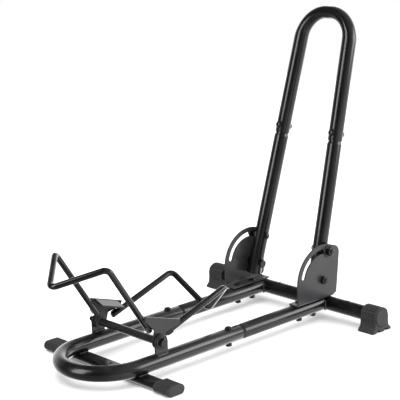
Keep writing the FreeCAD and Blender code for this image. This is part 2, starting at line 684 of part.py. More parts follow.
def hoop_leg():
    """Lower leg: full-size tube, necked down at its top to enter the upper tube."""
    body = new_body("hoop_leg_right")
    neck, top = "leg_splice - neck_lead", "leg_splice + splice_depth"
    revolve(body, (
        ("tube_bore", "-leg_foot"), ("tube_radius", "-leg_foot"),
        ("tube_radius", f"{neck} - neck_length"), ("swage_radius", neck), ("swage_radius", top),
        ("swage_bore", top), ("swage_bore", neck), ("tube_bore", f"{neck} - neck_length"),
    ))
    splay = number("leg_splay")
    level = Rotation(Vector(0, 1, 0), splay).multVec(Vector(1, 0, 0))
    reach = 4 * number("tube_radius")
    bore(body, "big_bolt_radius + bore_gap", Vector(0, 0, 0), level, reach)
    bore(body, "big_bolt_radius + hole_gap", Vector(0, 0, number("slot_radius / cos(leg_splay)")), level, reach)
    bore(body, "small_bolt_radius + hole_gap", Vector(0, 0, number("leg_bolt")), Vector(0, 1, 0), reach)
    body.Placement.Rotation = BACK_LEAN.multiply(Rotation(Vector(0, 1, 0), -splay))
    bind(body, Placement__Base__x="hoop_half_width", Placement__Base__y="hoop_y", Placement__Base__z="hoop_z")
    keep_pair(body, "hoop_leg")


# ------------------------------------------------------------------ wheel cradle
def cradle_ear():
    """Upright strap on each rail, rounded about the cradle pivot and seated on the tube."""
    body = new_body("cradle_ear_right")
    outline = sketch_on(body, "YZ_Plane", "outline", "ear_inner")
    middle, level, half = number("cradle_y"), number("cradle_z"), number("ear_width") / 2
    low = number("axis_height")
    top = arc_round(Vector(middle, level), half, 0, 180)
    foot_back, foot_front = Vector(middle + half, low), Vector(middle - half, low)
    for piece in (top, Part.LineSegment(top.EndPoint, foot_front),
                  Part.LineSegment(foot_front, foot_back), Part.LineSegment(foot_back, top.StartPoint)):
        outline.addGeometry(piece)
    pad(body, outline, "ear_thickness")
    seat = Vector(number("rail_x"), middle, low)
    bore(body, "tube_radius", seat, Vector(0, 1, 0), 4 * number("ear_width"))
    pin_hole = sketch_on(body, "YZ_Plane", "pin_hole", "ear_inner")
    circle(pin_hole, "cradle_y", "cradle_z", "big_bolt_radius + bore_gap")
    pocket(body, pin_hole, "3 * ear_thickness", both_ways=True)
    keep_pair(body, "cradle_ear")


def cradle_plate():
    """Funnel-shaped side plate with its top edge folded inboard as a lip under the tyre."""
    body = new_body("cradle_plate_right")
    half, waist = number("neck_half_width"), number("plate_waist")
    wide, side, top = number("plate_half_top"), number("plate_side"), number("plate_top")
    outline = sketch_on(body, "YZ_Plane", "outline", "side_plate_x")
    bottom = arc_round(Vector(), half, 180, 360)
    corners = [bottom.EndPoint, Vector(half, waist), Vector(wide, side), Vector(wide, top), Vector(-wide, top),
               Vector(-wide, side), Vector(-half, waist), bottom.StartPoint]
    outline.addGeometry(bottom)
    for start, end in zip(corners, corners[1:]):
        outline.addGeometry(Part.LineSegment(start, end))
    pad(body, outline, "plate_thickness")
    lip = sketch_on(body, "XZ_Plane", "lip", "-lip_back")
    drop, inner_x = "plate_top - lip_drop", "side_plate_x - lip_reach"
    polygon(lip, (
        ("side_plate_outer", "plate_top"), (inner_x, drop), (inner_x, f"{drop} - plate_thickness"),
        ("side_plate_outer", "plate_top - plate_thickness"),
    ))
    pad(body, lip, "lip_back + lip_front")
    pin_hole = sketch_on(body, "YZ_Plane", "pin_hole", "side_plate_x")
    circle(pin_hole, "0", "0", "big_bolt_radius + bore_gap")
    pocket(body, pin_hole, "3 * plate_thickness", both_ways=True)
    body.Placement.Rotation = Rotation(Vector(1, 0, 0), -number("plate_slope"))
    bind(body, Placement__Base__y="cradle_y", Placement__Base__z="cradle_z")
    keep_pair(body, "cradle_plate")


def cradle_loop(name, arm_direction, vee_direction, vee_length):
    """Wire loop: two arms in upright planes, bent across to a point in the middle."""
    pivot = Vector(0, number("cradle_y"), number("cradle_z"))
    half, arm = number("loop_half_width"), number("arm_length")
    start = pivot + arm_direction * number("arm_start") + Vector(half, 0, 0)
    shoulder = pivot + arm_direction * arm + Vector(half, 0, 0)
    point = pivot + arm_direction * arm + vee_direction * vee_length
    bends = (
        rounded(shoulder, start, point, number("shoulder_bend")),
        rounded(point, shoulder, mirror_x(shoulder), number("point_bend")),
        rounded(mirror_x(shoulder), point, mirror_x(start), number("shoulder_bend")),
    )
    edges, last = [], start
    for bend_in, bend, bend_out in bends:
        edges += [Part.LineSegment(last, bend_in).toShape(), bend.toShape()]
        last = bend_out
    edges.append(Part.LineSegment(last, mirror_x(start)).toShape())
    path = doc.addObject("Part::Feature", f"{name}_path")
    path.Shape = Part.Wire(edges)
    section = doc.addObject("Part::Circle", f"{name}_section")
    bind(section, Radius="rod_od / 2")
    section.Placement = Placement(start, Rotation(Vector(0, 0, 1), arm_direction))
    rod = doc.addObject("Part::Sweep", name)
    rod.Sections = [section]
    rod.Spine = (path, [f"Edge{count}" for count in range(1, len(edges) + 1)])
    rod.Solid = True
    keep(rod, name)


def mirror_x(point):
    """Mirror image of a point across the middle plane."""
    return Vector(-point.x, point.y, point.z)


def level_direction(angle, forward):
    """Direction in the middle plane at an angle above level, forward or to the rear."""
    turn = math.radians(angle)
    return Vector(0, -math.cos(turn) if forward else math.cos(turn), math.sin(turn))


def cradle_cross_tube():
    """Small tube between the inner discs of the cradle."""
    body = new_body("cradle_cross_tube")
    ring = sketch_on(body, "YZ_Plane", "ring")
    circle(ring, "cradle_y", "cradle_z", "cross_tube_od / 2")
    circle(ring, "cradle_y", "cradle_z", "cross_tube_od / 2 - cross_tube_wall")
    pad(body, ring, "2 * disc_inner", both_ways=True)
    keep(body)


# ------------------------------------------------------------------ sets of fasteners
def across(place_x, place_y, place_z, sign):
    """Place on one side of the rack, with +Z of the fastener pointing outboard."""
    turn = ALONG_X if sign > 0 else AGAINST_X
    return Placement(Vector(sign * number(place_x), number(place_y), number(place_z)), turn)


def base_fasteners():
    """Bolts through the splices and under the brackets."""
    holes = [(sign * number("rail_x"), number(f"crossbar_y - {run}"))
             for _, sign in SIDES for run in ("bracket_bolt_front", "bracket_bolt_back")]
    top, under = number("flange_top"), number("rail_bottom")
    length = "bracket_thickness + tube_od + small_nut + small_tail"
    group("bracket_bolts", [dome_bolt(Placement(Vector(x, y, top), DOWN), length) for x, y in holes])
    group("bracket_nuts", [
        nut(Placement(Vector(x, y, under), DOWN), "small_flats", "small_nut", "small_bolt_radius")
        for x, y in holes])
    spots = [(sign * number("rail_x"), number("splice_bolt_y")) for _, sign in SIDES]
    top = number("rail_top")
    length = "tube_od + small_nut + small_tail"
    group("rail_splice_bolts", [dome_bolt(Placement(Vector(x, y, top), DOWN), length) for x, y in spots])
    group("rail_splice_nuts", [
        nut(Placement(Vector(x, y, under), DOWN), "small_flats", "small_nut", "small_bolt_radius")
        for x, y in spots])


def cradle_fasteners():
    """One long bolt through both ears, with its washers, bushes, discs and nut."""
    spot = ("cradle_y", "cradle_z")
    head = "ear_outer + washer_thickness"
    head_place = across(head, *spot, 1)
    head_place.Rotation = AGAINST_X
    keep(hex_bolt(head_place, f"2 * ({head}) + big_nut + long_bolt_tail"), "cradle_pivot_bolt")
    keep(nut(across(head, *spot, -1), "big_flats", "big_nut", "big_bolt_radius"), "cradle_pivot_nut")
    rings = (
        ("cradle_outer_washers", "ear_outer", "washer_thickness"),
        ("cradle_bushes", "side_plate_outer", "bush_length"),
        ("cradle_inner_discs", "disc_inner", "washer_thickness"),
    )
    for name, place_x, thickness in rings:
        group(name, [washer(across(place_x, *spot, sign), "washer_radius", thickness) for _, sign in SIDES])


def hoop_fasteners():
    """Pivot bolts, slot bolts and splice bolts of the hoop."""
    pivot = ("hoop_y", "hoop_z")
    thrust = "hoop_half_width + tube_radius + thrust_radius * leg_slope + pivot_gap"
    head = "hoop_half_width - tube_radius - big_flats / 2 * leg_slope - pivot_gap"
    group("hoop_pivot_bolts", [
        hex_bolt(across(head, *pivot, sign), f"plate_outer_x - ({head}) + big_nut + bolt_tail")
        for _, sign in SIDES])
    group("hoop_pivot_nuts", [
        nut(across("plate_outer_x", *pivot, sign), "big_flats", "big_nut", "big_bolt_radius")
        for _, sign in SIDES])
    group("hoop_pivot_washers", [
        washer(across(thrust, *pivot, sign), "thrust_radius", f"plate_inner_x - ({thrust})")
        for _, sign in SIDES])
    slot = ("hoop_y + slot_radius * sin(hoop_lean)", "hoop_z + slot_radius * cos(hoop_lean)")
    head = "slot_leg_x - tube_radius - dome_radius * leg_slope - slot_gap"
    spacer = "slot_leg_x + tube_radius + spacer_radius * leg_slope + slot_gap"
    nut_x = "plate_outer_x + washer_thickness"
    group("slot_bolts", [
        dome_bolt(across(head, *slot, sign), f"{nut_x} - ({head}) + big_nut + bolt_tail", "big_bolt_radius")
        for _, sign in SIDES])
    group("slot_spacers", [
        washer(across(spacer, *slot, sign), "spacer_radius", f"plate_inner_x - ({spacer})")
        for _, sign in SIDES])
    group("slot_washers", [
        washer(across("plate_outer_x", *slot, sign), "washer_radius", "washer_thickness") for _, sign in SIDES])
    group("slot_nuts", [
        nut(across(nut_x, *slot, sign), "big_flats", "big_nut", "big_bolt_radius") for _, sign in SIDES])
    height = number("leg_bolt * cos(leg_splay)")
    normal = BACK_LEAN.multVec(Vector(0, 1, 0))
    turn = Rotation(Vector(0, 0, 1), normal)
    radius = number("tube_radius")
    length = "tube_od + small_nut + small_tail"
    centres = [hoop_point(sign * leg_x(height), height) for _, sign in SIDES]
    group("hoop_splice_bolts", [dome_bolt(Placement(spot - normal * radius, turn), length) for spot in centres])
    group("hoop_splice_nuts", [
        nut(Placement(spot + normal * radius, turn), "small_flats", "small_nut", "small_bolt_radius")
        for spot in centres])


# ------------------------------------------------------------------ make, check and write
front_rail_loop()
rear_rail()
rear_crossbar()
rear_foot()
front_foot_bar()
front_foot_cap()
cradle_ear()
quadrant_bracket()
hoop_top_tube()
hoop_leg()
cradle_cross_tube()
cradle_plate()
cradle_loop("cradle_front_loop", level_direction(number("front_arm_angle"), True),
            level_direction(-number("front_vee_angle"), True), number("front_vee_length"))
cradle_loop("cradle_rear_loop", level_direction(number("rear_arm_angle"), False),
            level_direction(-number("rear_vee_angle"), False), number("rear_vee_length"))
base_fasteners()
cradle_fasteners()
hoop_fasteners()
doc.recompute()

for item in doc.Objects:
    assert not {"Invalid", "Error"} & set(item.State), f"{item.Label}: {item.State}"
for item in nodes:
    assert not item.Shape.isNull() and item.Shape.isValid(), item.Label

os.makedirs("parts", exist_ok=True)
for item in nodes:
    item.Shape.exportStep(f"parts/{item.Label}.step")
reach = Part.makeCompound([item.Shape for item in nodes]).BoundBox
print(f"{len(nodes)} pieces, {reach.XLength:.1f} wide, {reach.YLength:.1f} deep, {reach.ZLength:.1f} high")
print(f"middle {reach.Center.x:.3f}, {reach.Center.y:.3f}, floor {reach.ZMin:.3f}")
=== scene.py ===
"""Looks of the floor bike rack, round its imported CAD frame. Metres, +Z up, the wheel rolls in from -Y."""

import logging
import math
import random
from collections.abc import Callable, Iterable, Iterator, Sequence
from contextlib import contextmanager
from dataclasses import dataclass, field
from enum import Enum
from typing import Any, Union

import bmesh
import bpy
from mathutils import Matrix, Vector
from mathutils.geometry import tessellate_polygon


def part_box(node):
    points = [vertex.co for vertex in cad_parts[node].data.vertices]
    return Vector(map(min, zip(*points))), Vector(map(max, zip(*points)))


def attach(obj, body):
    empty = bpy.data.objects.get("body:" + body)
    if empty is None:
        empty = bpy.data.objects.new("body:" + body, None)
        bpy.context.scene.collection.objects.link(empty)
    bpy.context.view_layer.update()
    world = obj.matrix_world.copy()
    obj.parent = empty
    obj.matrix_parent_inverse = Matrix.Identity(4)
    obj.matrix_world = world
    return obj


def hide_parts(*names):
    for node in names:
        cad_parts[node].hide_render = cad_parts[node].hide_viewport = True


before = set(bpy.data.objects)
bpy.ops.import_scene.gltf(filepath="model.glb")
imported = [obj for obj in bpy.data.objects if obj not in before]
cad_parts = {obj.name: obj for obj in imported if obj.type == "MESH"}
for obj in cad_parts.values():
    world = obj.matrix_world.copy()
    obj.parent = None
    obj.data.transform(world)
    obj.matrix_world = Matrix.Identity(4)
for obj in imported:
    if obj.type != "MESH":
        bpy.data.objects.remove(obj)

log = logging.getLogger("bike_rack")

MM = 0.001
SIDES = (1, -1)
HANDS = ((1, "right"), (-1, "left"))
ACROSS, REARWARD, UP, DOWN = Vector((1, 0, 0)), Vector((0, 1, 0)), Vector((0, 0, 1)), Vector((0, 0, -1))
TUBE_SIDES = 48
EDGE_ANGLE = 32.0
ARC_PART = 0.293  # distance of a quarter round's middle from the corner's two sides, as a share of its radius
Colour = tuple[float, float, float]
Profile = Sequence[tuple[float, float]]


# ------------------------------------------------------------------ shader maths
def math_operator(operation: str, flipped: bool = False) -> Callable[["Signal", "Value"], "Signal"]:
    """Python operator of a signal that adds one Math node.

    Args:
        operation: The Math node's operation.
        flipped: Whether the other value comes first.

    Returns:
        The operator, to be set on the class.
    """
    def method(self: "Signal", other: "Value") -> "Signal":
        """Output of the new Math node."""
        left, right = (other, self) if flipped else (self, other)
        return self.wiring.node("ShaderNodeMath", {"operation": operation}, {0: left, 1: right})

    return method


class Signal:
    """One output of a node, on which Python's operators add the matching Math nodes."""

    def __init__(self, wiring: "Wiring", socket: bpy.types.NodeSocket) -> None:
        """Keep the socket and the node tree that it belongs to."""
        self.wiring, self.socket = wiring, socket

    __add__, __radd__ = math_operator("ADD"), math_operator("ADD", flipped=True)
    __sub__, __rsub__ = math_operator("SUBTRACT"), math_operator("SUBTRACT", flipped=True)
    __mul__, __rmul__ = math_operator("MULTIPLY"), math_operator("MULTIPLY", flipped=True)
    __pow__ = math_operator("POWER")


Value = Union[Signal, float, Sequence[float]]


class Wiring:
    """A node tree being wired."""

    def __init__(self, tree: bpy.types.NodeTree) -> None:
        """Empty the tree of a material or of the world."""
        self.tree = tree
        self.tree.nodes.clear()

    def node(self, kind: str, settings: dict[str, Any] | None = None,
             values: dict[int | str, Value] | None = None, output: int | str = 0) -> Signal:
        """Add any node.

        Args:
            kind: The node's type.
            settings: Its settings, which are set first.
            values: Values or links of its inputs.
            output: Which output to hand back.

        Returns:
            That output.
        """
        made = self.tree.nodes.new(kind)
        for name, value in (settings or {}).items():
            setattr(made, name, value)
        for name, value in (values or {}).items():
            self.feed(made.inputs[name], value)
        return Signal(self, made.outputs[output])

    def feed(self, socket: bpy.types.NodeSocket, value: Value) -> None:
        """Set or link one input.

        Args:
            socket: The input.
            value: Its value, or the signal to link.
        """
        if isinstance(value, Signal):
            self.tree.links.new(value.socket, socket)
        else:
            socket.default_value = value

    def stretch(self, value: Signal, low: float, high: float) -> Signal:
        """Signal whose range from low to high is spread over 0 to 1 and held there."""
        return self.node("ShaderNodeMapRange", {"clamp": True}, {
            "Value": value, "From Min": low, "From Max": high})


class Shader(Wiring):
    """A material that ends in one Principled shader."""

    def __init__(self, name: str) -> None:
        """Start the material.

        Args:
            name: The material's name.
        """
        self.material = bpy.data.materials.new(name)
        self.material.use_nodes = True
        super().__init__(self.material.node_tree)
        output = self.tree.nodes.new("ShaderNodeOutputMaterial")
        self.surface = self.tree.nodes.new("ShaderNodeBsdfPrincipled")
        self.tree.links.new(self.surface.outputs[0], output.inputs["Surface"])

    def paint(self, **values: Value) -> None:
        """Set the Principled shader's inputs.

        Args:
            values: Input names in lower case with underscores, and their values or links.
        """
        for name, value in values.items():
            title = " ".join(word if word.isupper() else word.title() for word in name.split("_"))
            self.feed(self.surface.inputs[title], value)

    def facing(self) -> Signal:
        """How far a surface looks up, from -1 to 1."""
        normal = self.node("ShaderNodeNewGeometry", output="Normal")
        return self.node("ShaderNodeSeparateXYZ", values={0: normal}, output="Z")

    def clouds(self, scale: float, detail: float = 2.0, roughness: float = 0.5) -> Signal:
        """Noise from 0 to 1, by cells in a metre, octaves and the finer octaves' weight."""
        place = self.node("ShaderNodeTexCoord", output="Object")
        return self.node("ShaderNodeTexNoise", {"noise_dimensions": "3D"}, {
            "Vector": place, "Scale": scale, "Detail": detail, "Roughness": roughness}, "Fac")

    def blend(self, share: Value, first: Colour | Signal, second: Colour | Signal) -> Signal:
        """Colour between two, from the first at a share of 0 to the second at 1."""
        ends = [end if isinstance(end, Signal) else (*end, 1.0) for end in (first, second)]
        return self.node("ShaderNodeMix", {"data_type": "RGBA", "clamp_factor": True},
                         {0: share, 6: ends[0], 7: ends[1]}, 2)

    def relief(self, height: Signal, depth: float, under: Signal | None = None) -> Signal:
        """Bump from a height signal.

        Args:
            height: Heights from 0 to 1.
            depth: How far 1 stands above 0, in metres.
            under: Normal that this one goes on top of.

        Returns:
            The bent normal.
        """
        values: dict[int | str, Value] = {"Height": height, "Distance": depth, "Strength": 1.0}
        if under is not None:
            values["Normal"] = under
        return self.node("ShaderNodeBump", values=values, output="Normal")


# ------------------------------------------------------------------ finishes
@dataclass(frozen=True)
class PaintedSteel:
    """Black coating baked on steel: fine orange peel, faint clouding and settled dust."""

    name: str
    dark: Colour
    light: Colour
    roughness: float
    peel: float
    peel_cells: float = 520.0
    coat: float = 0.12
    dust: float = 0.35
    dust_colour: Colour = (0.30, 0.29, 0.28)
    grain_depth: float = 0.000004

    def material(self) -> bpy.types.Material:
        """Wire the coating.

        Returns:
            The finished material.
        """
        shader = Shader(self.name)
        broad = shader.clouds(22.0, 3.0)
        grain = shader.clouds(2600.0, 2.0, 0.6)
        looking_up = shader.stretch(shader.facing(), 0.2, 1.0)
        dusting = looking_up ** 2.0 * shader.stretch(shader.clouds(60.0, 4.0), 0.35, 0.75)
        coated = shader.blend(shader.stretch(broad, 0.35, 0.65), self.dark, self.light)
        peel = shader.relief(shader.clouds(self.peel_cells, 2.0), self.peel)
        uneven = (broad - 0.5) * 0.14 + (grain - 0.5) * 0.10
        shader.paint(
            base_color=shader.blend(dusting * (self.dust * 0.12), coated, self.dust_colour),
            roughness=self.roughness + uneven + dusting * (0.12 * self.dust),
            normal=shader.relief(grain, self.grain_depth, peel),
            coat_weight=self.coat, coat_roughness=0.12, specular_IOR_level=0.5)
        return shader.material


@dataclass(frozen=True)
class CoatedBolt:
    """Blackened bolt steel: dark, fairly glossy, with fine drawn marks and rubbed patches."""

    name: str
    dark: Colour
    bright: Colour
    roughness: float
    mark_depth: float = 0.000006

    def material(self) -> bpy.types.Material:
        """Wire the blackened steel.

        Returns:
            The finished material.
        """
        shader = Shader(self.name)
        rubbed = shader.stretch(shader.clouds(240.0, 4.0, 0.65), 0.52, 0.74)
        marks = shader.clouds(3800.0, 2.0)
        shader.paint(
            base_color=shader.blend(rubbed, self.dark, self.bright),
            roughness=self.roughness + rubbed * 0.12 + (marks - 0.5) * 0.12,
            metallic=rubbed * 0.6, specular_IOR_level=0.5,
            normal=shader.relief(marks, self.mark_depth))
        return shader.material


@dataclass(frozen=True)
class MouldedPlastic:
    """Black plastic out of a textured mould, dull, with a painted sheen: lighter in patches where it looks
    up.
    """

    name: str
    dark: Colour
    light: Colour
    roughness: float
    grain_depth: float
    grain_cells: float = 1500.0

    def material(self) -> bpy.types.Material:
        """Wire the plastic.

        Returns:
            The finished material.
        """
        shader = Shader(self.name)
        grain = shader.clouds(self.grain_cells, 3.0, 0.6)
        broad = shader.clouds(45.0, 3.0)
        # Painted sheen: the base colour is lightened in patches on faces that look up, as light from above
        # would make them look.
        painted_sheen = shader.stretch(shader.facing(), -0.2, 1.0) * shader.stretch(broad, 0.3, 0.8)
        shader.paint(
            base_color=shader.blend(0.25 * grain + 0.6 * painted_sheen, self.dark, self.light),
            roughness=self.roughness + (broad - 0.5) * 0.12 + (grain - 0.5) * 0.1,
            normal=shader.relief(grain, self.grain_depth), specular_IOR_level=0.42)
        return shader.material


class Coat(Enum):
    """The finishes of the rack, each with the record's slot that it dresses."""

    FRAME = ("frame_paint", PaintedSteel(
        "frame_coat", (0.0028, 0.0027, 0.0030), (0.0050, 0.0048, 0.0052), 0.23, 0.000008))
    WIRE = ("frame_paint", PaintedSteel(
        "wire_coat", (0.0025, 0.0025, 0.0027), (0.0045, 0.0045, 0.0048), 0.18, 0.000006))
    # Weld coat: lighter than the frame coat. Partly the weld metal's own tone, partly painted glints standing
    # in for highlights on the speckled beads.
    WELD = ("frame_paint", PaintedSteel(
        "weld_coat", (0.012, 0.0117, 0.0118), (0.040, 0.0385, 0.0375), 0.17, 0.000030, 900.0))
    BRACKET = ("bracket_paint", PaintedSteel(
        "bracket_coat", (0.022, 0.0213, 0.023), (0.031, 0.030, 0.0325), 0.34, 0.000012, 700.0, 0.05, 0.5))
    PLATE = ("frame_paint", PaintedSteel(
        "plate_coat", (0.009, 0.0088, 0.0094), (0.014, 0.0136, 0.0145), 0.32, 0.000010))
    BOLT = ("black_fastener", CoatedBolt("bolt_black", (0.003, 0.003, 0.0033), (0.04, 0.038, 0.037), 0.2))
    FOOT = ("foot_moulding", MouldedPlastic(
        "foot_plastic", (0.018, 0.0175, 0.019), (0.034, 0.033, 0.0355), 0.55, 0.000020))
    BUSH = ("bush_nylon", MouldedPlastic(
        "bush_plastic", (0.008, 0.008, 0.008), (0.016, 0.016, 0.016), 0.45, 0.000008))

    @property
    def slot(self) -> str:
        """The record's material slot."""
        return self.value[0]

    @property
    def surface(self) -> bpy.types.Material:
        """The finish's material, wired on its first use."""
        finish = self.value[1]
        return bpy.data.materials.get(finish.name) or finish.material()


# ------------------------------------------------------------------ points and places
def round_angles(sides: int) -> list[float]:
    """Evenly spaced angles round a circle, in radians."""
    return [math.tau * index / sides for index in range(sides)]


def radians_of(degrees: Iterable[float]) -> list[float]:
    """Angles in radians from angles in degrees."""
    return [math.radians(angle) for angle in degrees]


def circle(centre: Vector, radius: float, turns: Iterable[float], level: Vector = REARWARD,
           up: Vector = UP) -> list[Vector]:
    """Points round a centre at some angles, in the plane of two directions."""
    return [centre + level * (radius * math.cos(turn)) + up * (radius * math.sin(turn)) for turn in turns]


def spun(place: Matrix, turn: float, radius: float, height: float) -> Vector:
    """Point about a place's Z axis, by angle, radius and height."""
    return place @ Vector((radius * math.cos(turn), radius * math.sin(turn), height))


def upright(spot: Vector, toward: Vector, spin: float = 0.0) -> Matrix:
    """Place whose Z axis points a given way, turned about that axis by some degrees."""
    turn = toward.to_track_quat("Z", "Y").to_matrix().to_4x4()
    return Matrix.Translation(spot) @ turn @ Matrix.Rotation(math.radians(spin), 4, "Z")


def bent_line(corners: Sequence[tuple[Vector, float]], step: float = 5.0) -> list[Vector]:
    """Straight runs joined by arcs.

    Args:
        corners: Corner points with the bend radius at each; the two ends have none.
        step: Degrees of arc between points.

    Returns:
        Points along the line, none of them twice.
    """
    line = [corners[0][0]]
    for (before, _), (corner, radius), (after, _) in zip(corners, corners[1:], corners[2:]):
        back, ahead = (before - corner).normalized(), (after - corner).normalized()
        half = back.angle(ahead) / 2
        centre = corner + (back + ahead).normalized() * (radius / math.sin(half))
        start = corner + back * (radius / math.tan(half)) - centre
        end = corner + ahead * (radius / math.tan(half)) - centre
        count = max(2, math.ceil(math.degrees(start.angle(end)) / step))
        turn, axis = start.angle(end) / count, start.cross(end)
        line += [centre + Matrix.Rotation(turn * index, 3, axis) @ start for index in range(count + 1)]
    line.append(corners[-1][0])
    return line[:1] + [point for before, point in zip(line, line[1:]) if (point - before).length > 1e-7]


def even_steps(line: Sequence[Vector], spacing: float, closed: bool = False) -> list[Vector]:
    """The same line in steps of about one length.

    Args:
        line: Its points.
        spacing: Wanted step.
        closed: Whether the last point joins the first.

    Returns:
        Evenly spaced points.
    """
    points = list(line) + ([line[0]] if closed else [])
    lengths = [0.0]
    for before, after in zip(points, points[1:]):
        lengths.append(lengths[-1] + (after - before).length)
    count = max(2, round(lengths[-1] / spacing))
    made, index = [], 0
    for number in range(count if closed else count + 1):
        reach = lengths[-1] * number / count
        while index < len(points) - 2 and lengths[index + 1] < reach:
            index += 1
        span = max(lengths[index + 1] - lengths[index], 1e-12)
        made.append(points[index].lerp(points[index + 1], (reach - lengths[index]) / span))
    return made


def carried_frames(line: Sequence[Vector], side: Vector) -> list[tuple[Vector, Vector, Vector]]:
    """Directions along a line, carried without twist.

    Args:
        line: Its points.
        side: Rough sideways direction at the first point.

    Returns:
        Along, sideways and upward directions at each point.
    """
    frames = []
    for index, _ in enumerate(line):
        along = (line[min(index + 1, len(line) - 1)] - line[max(index - 1, 0)]).normalized()
        side = (side - along * side.dot(along)).normalized()
        frames.append((along, side, along.cross(side)))
    return frames


def open_mouth(radius: float, wall: float, ease: float, depth: float = 25 * MM) -> Profile:
    """Rounded rim of an open tube and some of its bore, as radii and distances inside the end."""
    inner, part = radius - wall, ease * ARC_PART
    return [(inner, depth), (inner, ease), (inner + part, part), (inner + ease, 0.0),
            (radius - ease, 0.0), (radius - part, part), (radius, ease)]


def shut_mouth(radius: float, ease: float = 0.8 * MM) -> Profile:
    """Closed, rounded end of a rod, as radii and distances inside it."""
    return [(radius - ease, 0.0), (radius - ease * ARC_PART, ease * ARC_PART), (radius, ease)]


# ------------------------------------------------------------------ skins
class Skin:
    """Points and faces of one piece, gathered row by row."""

    def __init__(self) -> None:
        """Start with nothing."""
        self.points: list[Vector] = []
        self.faces: list[list[int]] = []

    def span(self, outer: Sequence[int], inner: Sequence[int]) -> None:
        """Fill the flat band between two closed rows of any count.

        Args:
            outer: Row round the outside.
            inner: Row round the hole.
        """
        numbers = [*outer, *inner]
        loops = [[self.points[number] for number in loop] for loop in (outer, inner)]
        self.faces += [[numbers[corner] for corner in triangle] for triangle in tessellate_polygon(loops)]

    def loft(self, rows: Sequence[Iterable[Vector]], ring: bool = False, first: bool = True,
             last: bool = True) -> list[list[int]]:
        """Skin of four-cornered faces over a run of closed rows.

        Args:
            rows: The rows' points, as many in each.
            ring: Whether the last row joins the first.
            first: Whether the first row is filled.
            last: Whether the last row is filled.

        Returns:
            The rows' numbers.
        """
        numbers = []
        for places in rows:
            start = len(self.points)
            self.points.extend(places)
            numbers.append(list(range(start, len(self.points))))
        for low, high in zip(numbers, numbers[1:] + numbers[:1] if ring else numbers[1:]):
            self.faces += map(list, zip(low, low[1:] + low[:1], high[1:] + high[:1], high))
        if not ring:
            self.faces += [list(row) for row, wanted in ((numbers[0], first), (numbers[-1], last)) if wanted]
        return numbers

    def turned(self, profile: Profile, place: Matrix, ring: bool = False, sides: int = 40) -> None:
        """Turn a profile of radii and heights, open or closed on itself, about the place's Z axis."""
        self.loft([[spun(place, turn, radius, height) for turn in round_angles(sides)]
                   for radius, height in profile], ring)

    def swept(self, line: Sequence[Vector], radii: Sequence[float], side: Vector,
              mouths: tuple[Profile, Profile], sides: int = TUBE_SIDES,
              squeeze: Callable[[int], float] | None = None) -> None:
        """Tube or rod along a line.

        Args:
            line: Points of its axis.
            radii: Outer radius at each.
            side: Sideways direction at the first point.
            mouths: For each end, radii and distances inside that end, from its deepest row out to the skin.
            sides: Points round it.
            squeeze: Height over width at a point's number, where the bend has flattened the tube.
        """
        frames = carried_frames(line, side)

        def around(index: int, radius: float, inside: float = 0.0) -> list[Vector]:
            """Row round one point of the line, or some way inside it.

            Args:
                index: The point's number.
                radius: Radius of the row.
                inside: Distance ahead along the line.

            Returns:
                The row's points.
            """
            along, level, up = frames[index]
            flat = squeeze(index) if squeeze else 1.0
            return circle(line[index] + along * inside, radius, round_angles(sides), level, up * flat)

        last = len(line) - 1
        rows = [around(0, radius, inside) for radius, inside in mouths[0]]
        rows += [around(index, radii[index]) for index in range(1, last)]
        rows += [around(last, radius, -inside) for radius, inside in reversed(mouths[1])]
        self.loft(rows)

    def weld(self, line: Sequence[Vector], size: float, side: Vector, seed: int, ring: bool = False) -> None:
        """Weld bead laid along a line, rippled as the puddle froze.

        Args:
            line: Points along the seam.
            size: Half of the bead's width.
            side: Sideways direction at the first point.
            seed: Seed of its unevenness.
            ring: Whether the seam closes on itself.
        """
        luck = random.Random(seed)
        line = even_steps(line, 0.5 * MM, ring)
        frames = carried_frames([line[-1], *line, line[0]] if ring else line, side)
        frames = frames[1:-1] if ring else frames
        phase, rows = luck.random(), []
        for index, (centre, (_, level, up)) in enumerate(zip(line, frames)):
            ripple = abs(math.sin(math.pi * (index * 0.5 / 1.9 + phase)))
            taper = 1.0 if ring else math.sqrt(max(0.04, min(1.0, index / 5, (len(line) - 1 - index) / 5)))
            radius = size * taper * (0.84 + 0.16 * ripple + luck.uniform(-0.04, 0.04))
            rows.append(circle(centre, radius, round_angles(12), level, up))
        self.loft(rows, ring)

    def piece(self, name: str, body: str, coat: Coat, node: str = "",
              crease: float = EDGE_ANGLE) -> bpy.types.Object:
        """Make the object, give it its finish and let it ride.

        Args:
            name: Its name.
            body: CAD body that it moves with.
            coat: Its finish.
            node: CAD node that it replaces, if any.
            crease: Degrees past which an edge stays sharp.

        Returns:
            The object.
        """
        mesh = bpy.data.meshes.new(name)
        work = bmesh.new()
        corners = [work.verts.new(point) for point in self.points]
        for numbers in self.faces:
            if len(set(numbers)) > 2 and not work.faces.get([corners[number] for number in numbers]):
                work.faces.new([corners[number] for number in numbers])
        bmesh.ops.recalc_face_normals(work, faces=work.faces)
        work.to_mesh(mesh)
        work.free()
        piece = bpy.data.objects.new(name, mesh)
        bpy.context.scene.collection.objects.link(piece)
        mesh.shade_smooth()
        mesh.set_sharp_from_angle(angle=math.radians(crease))
        mesh.materials.append(coat.surface)
        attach(piece, body)
        if node:
            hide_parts(node)
        log.info("%s: %d faces on %s", name, len(mesh.polygons), body)
        return piece


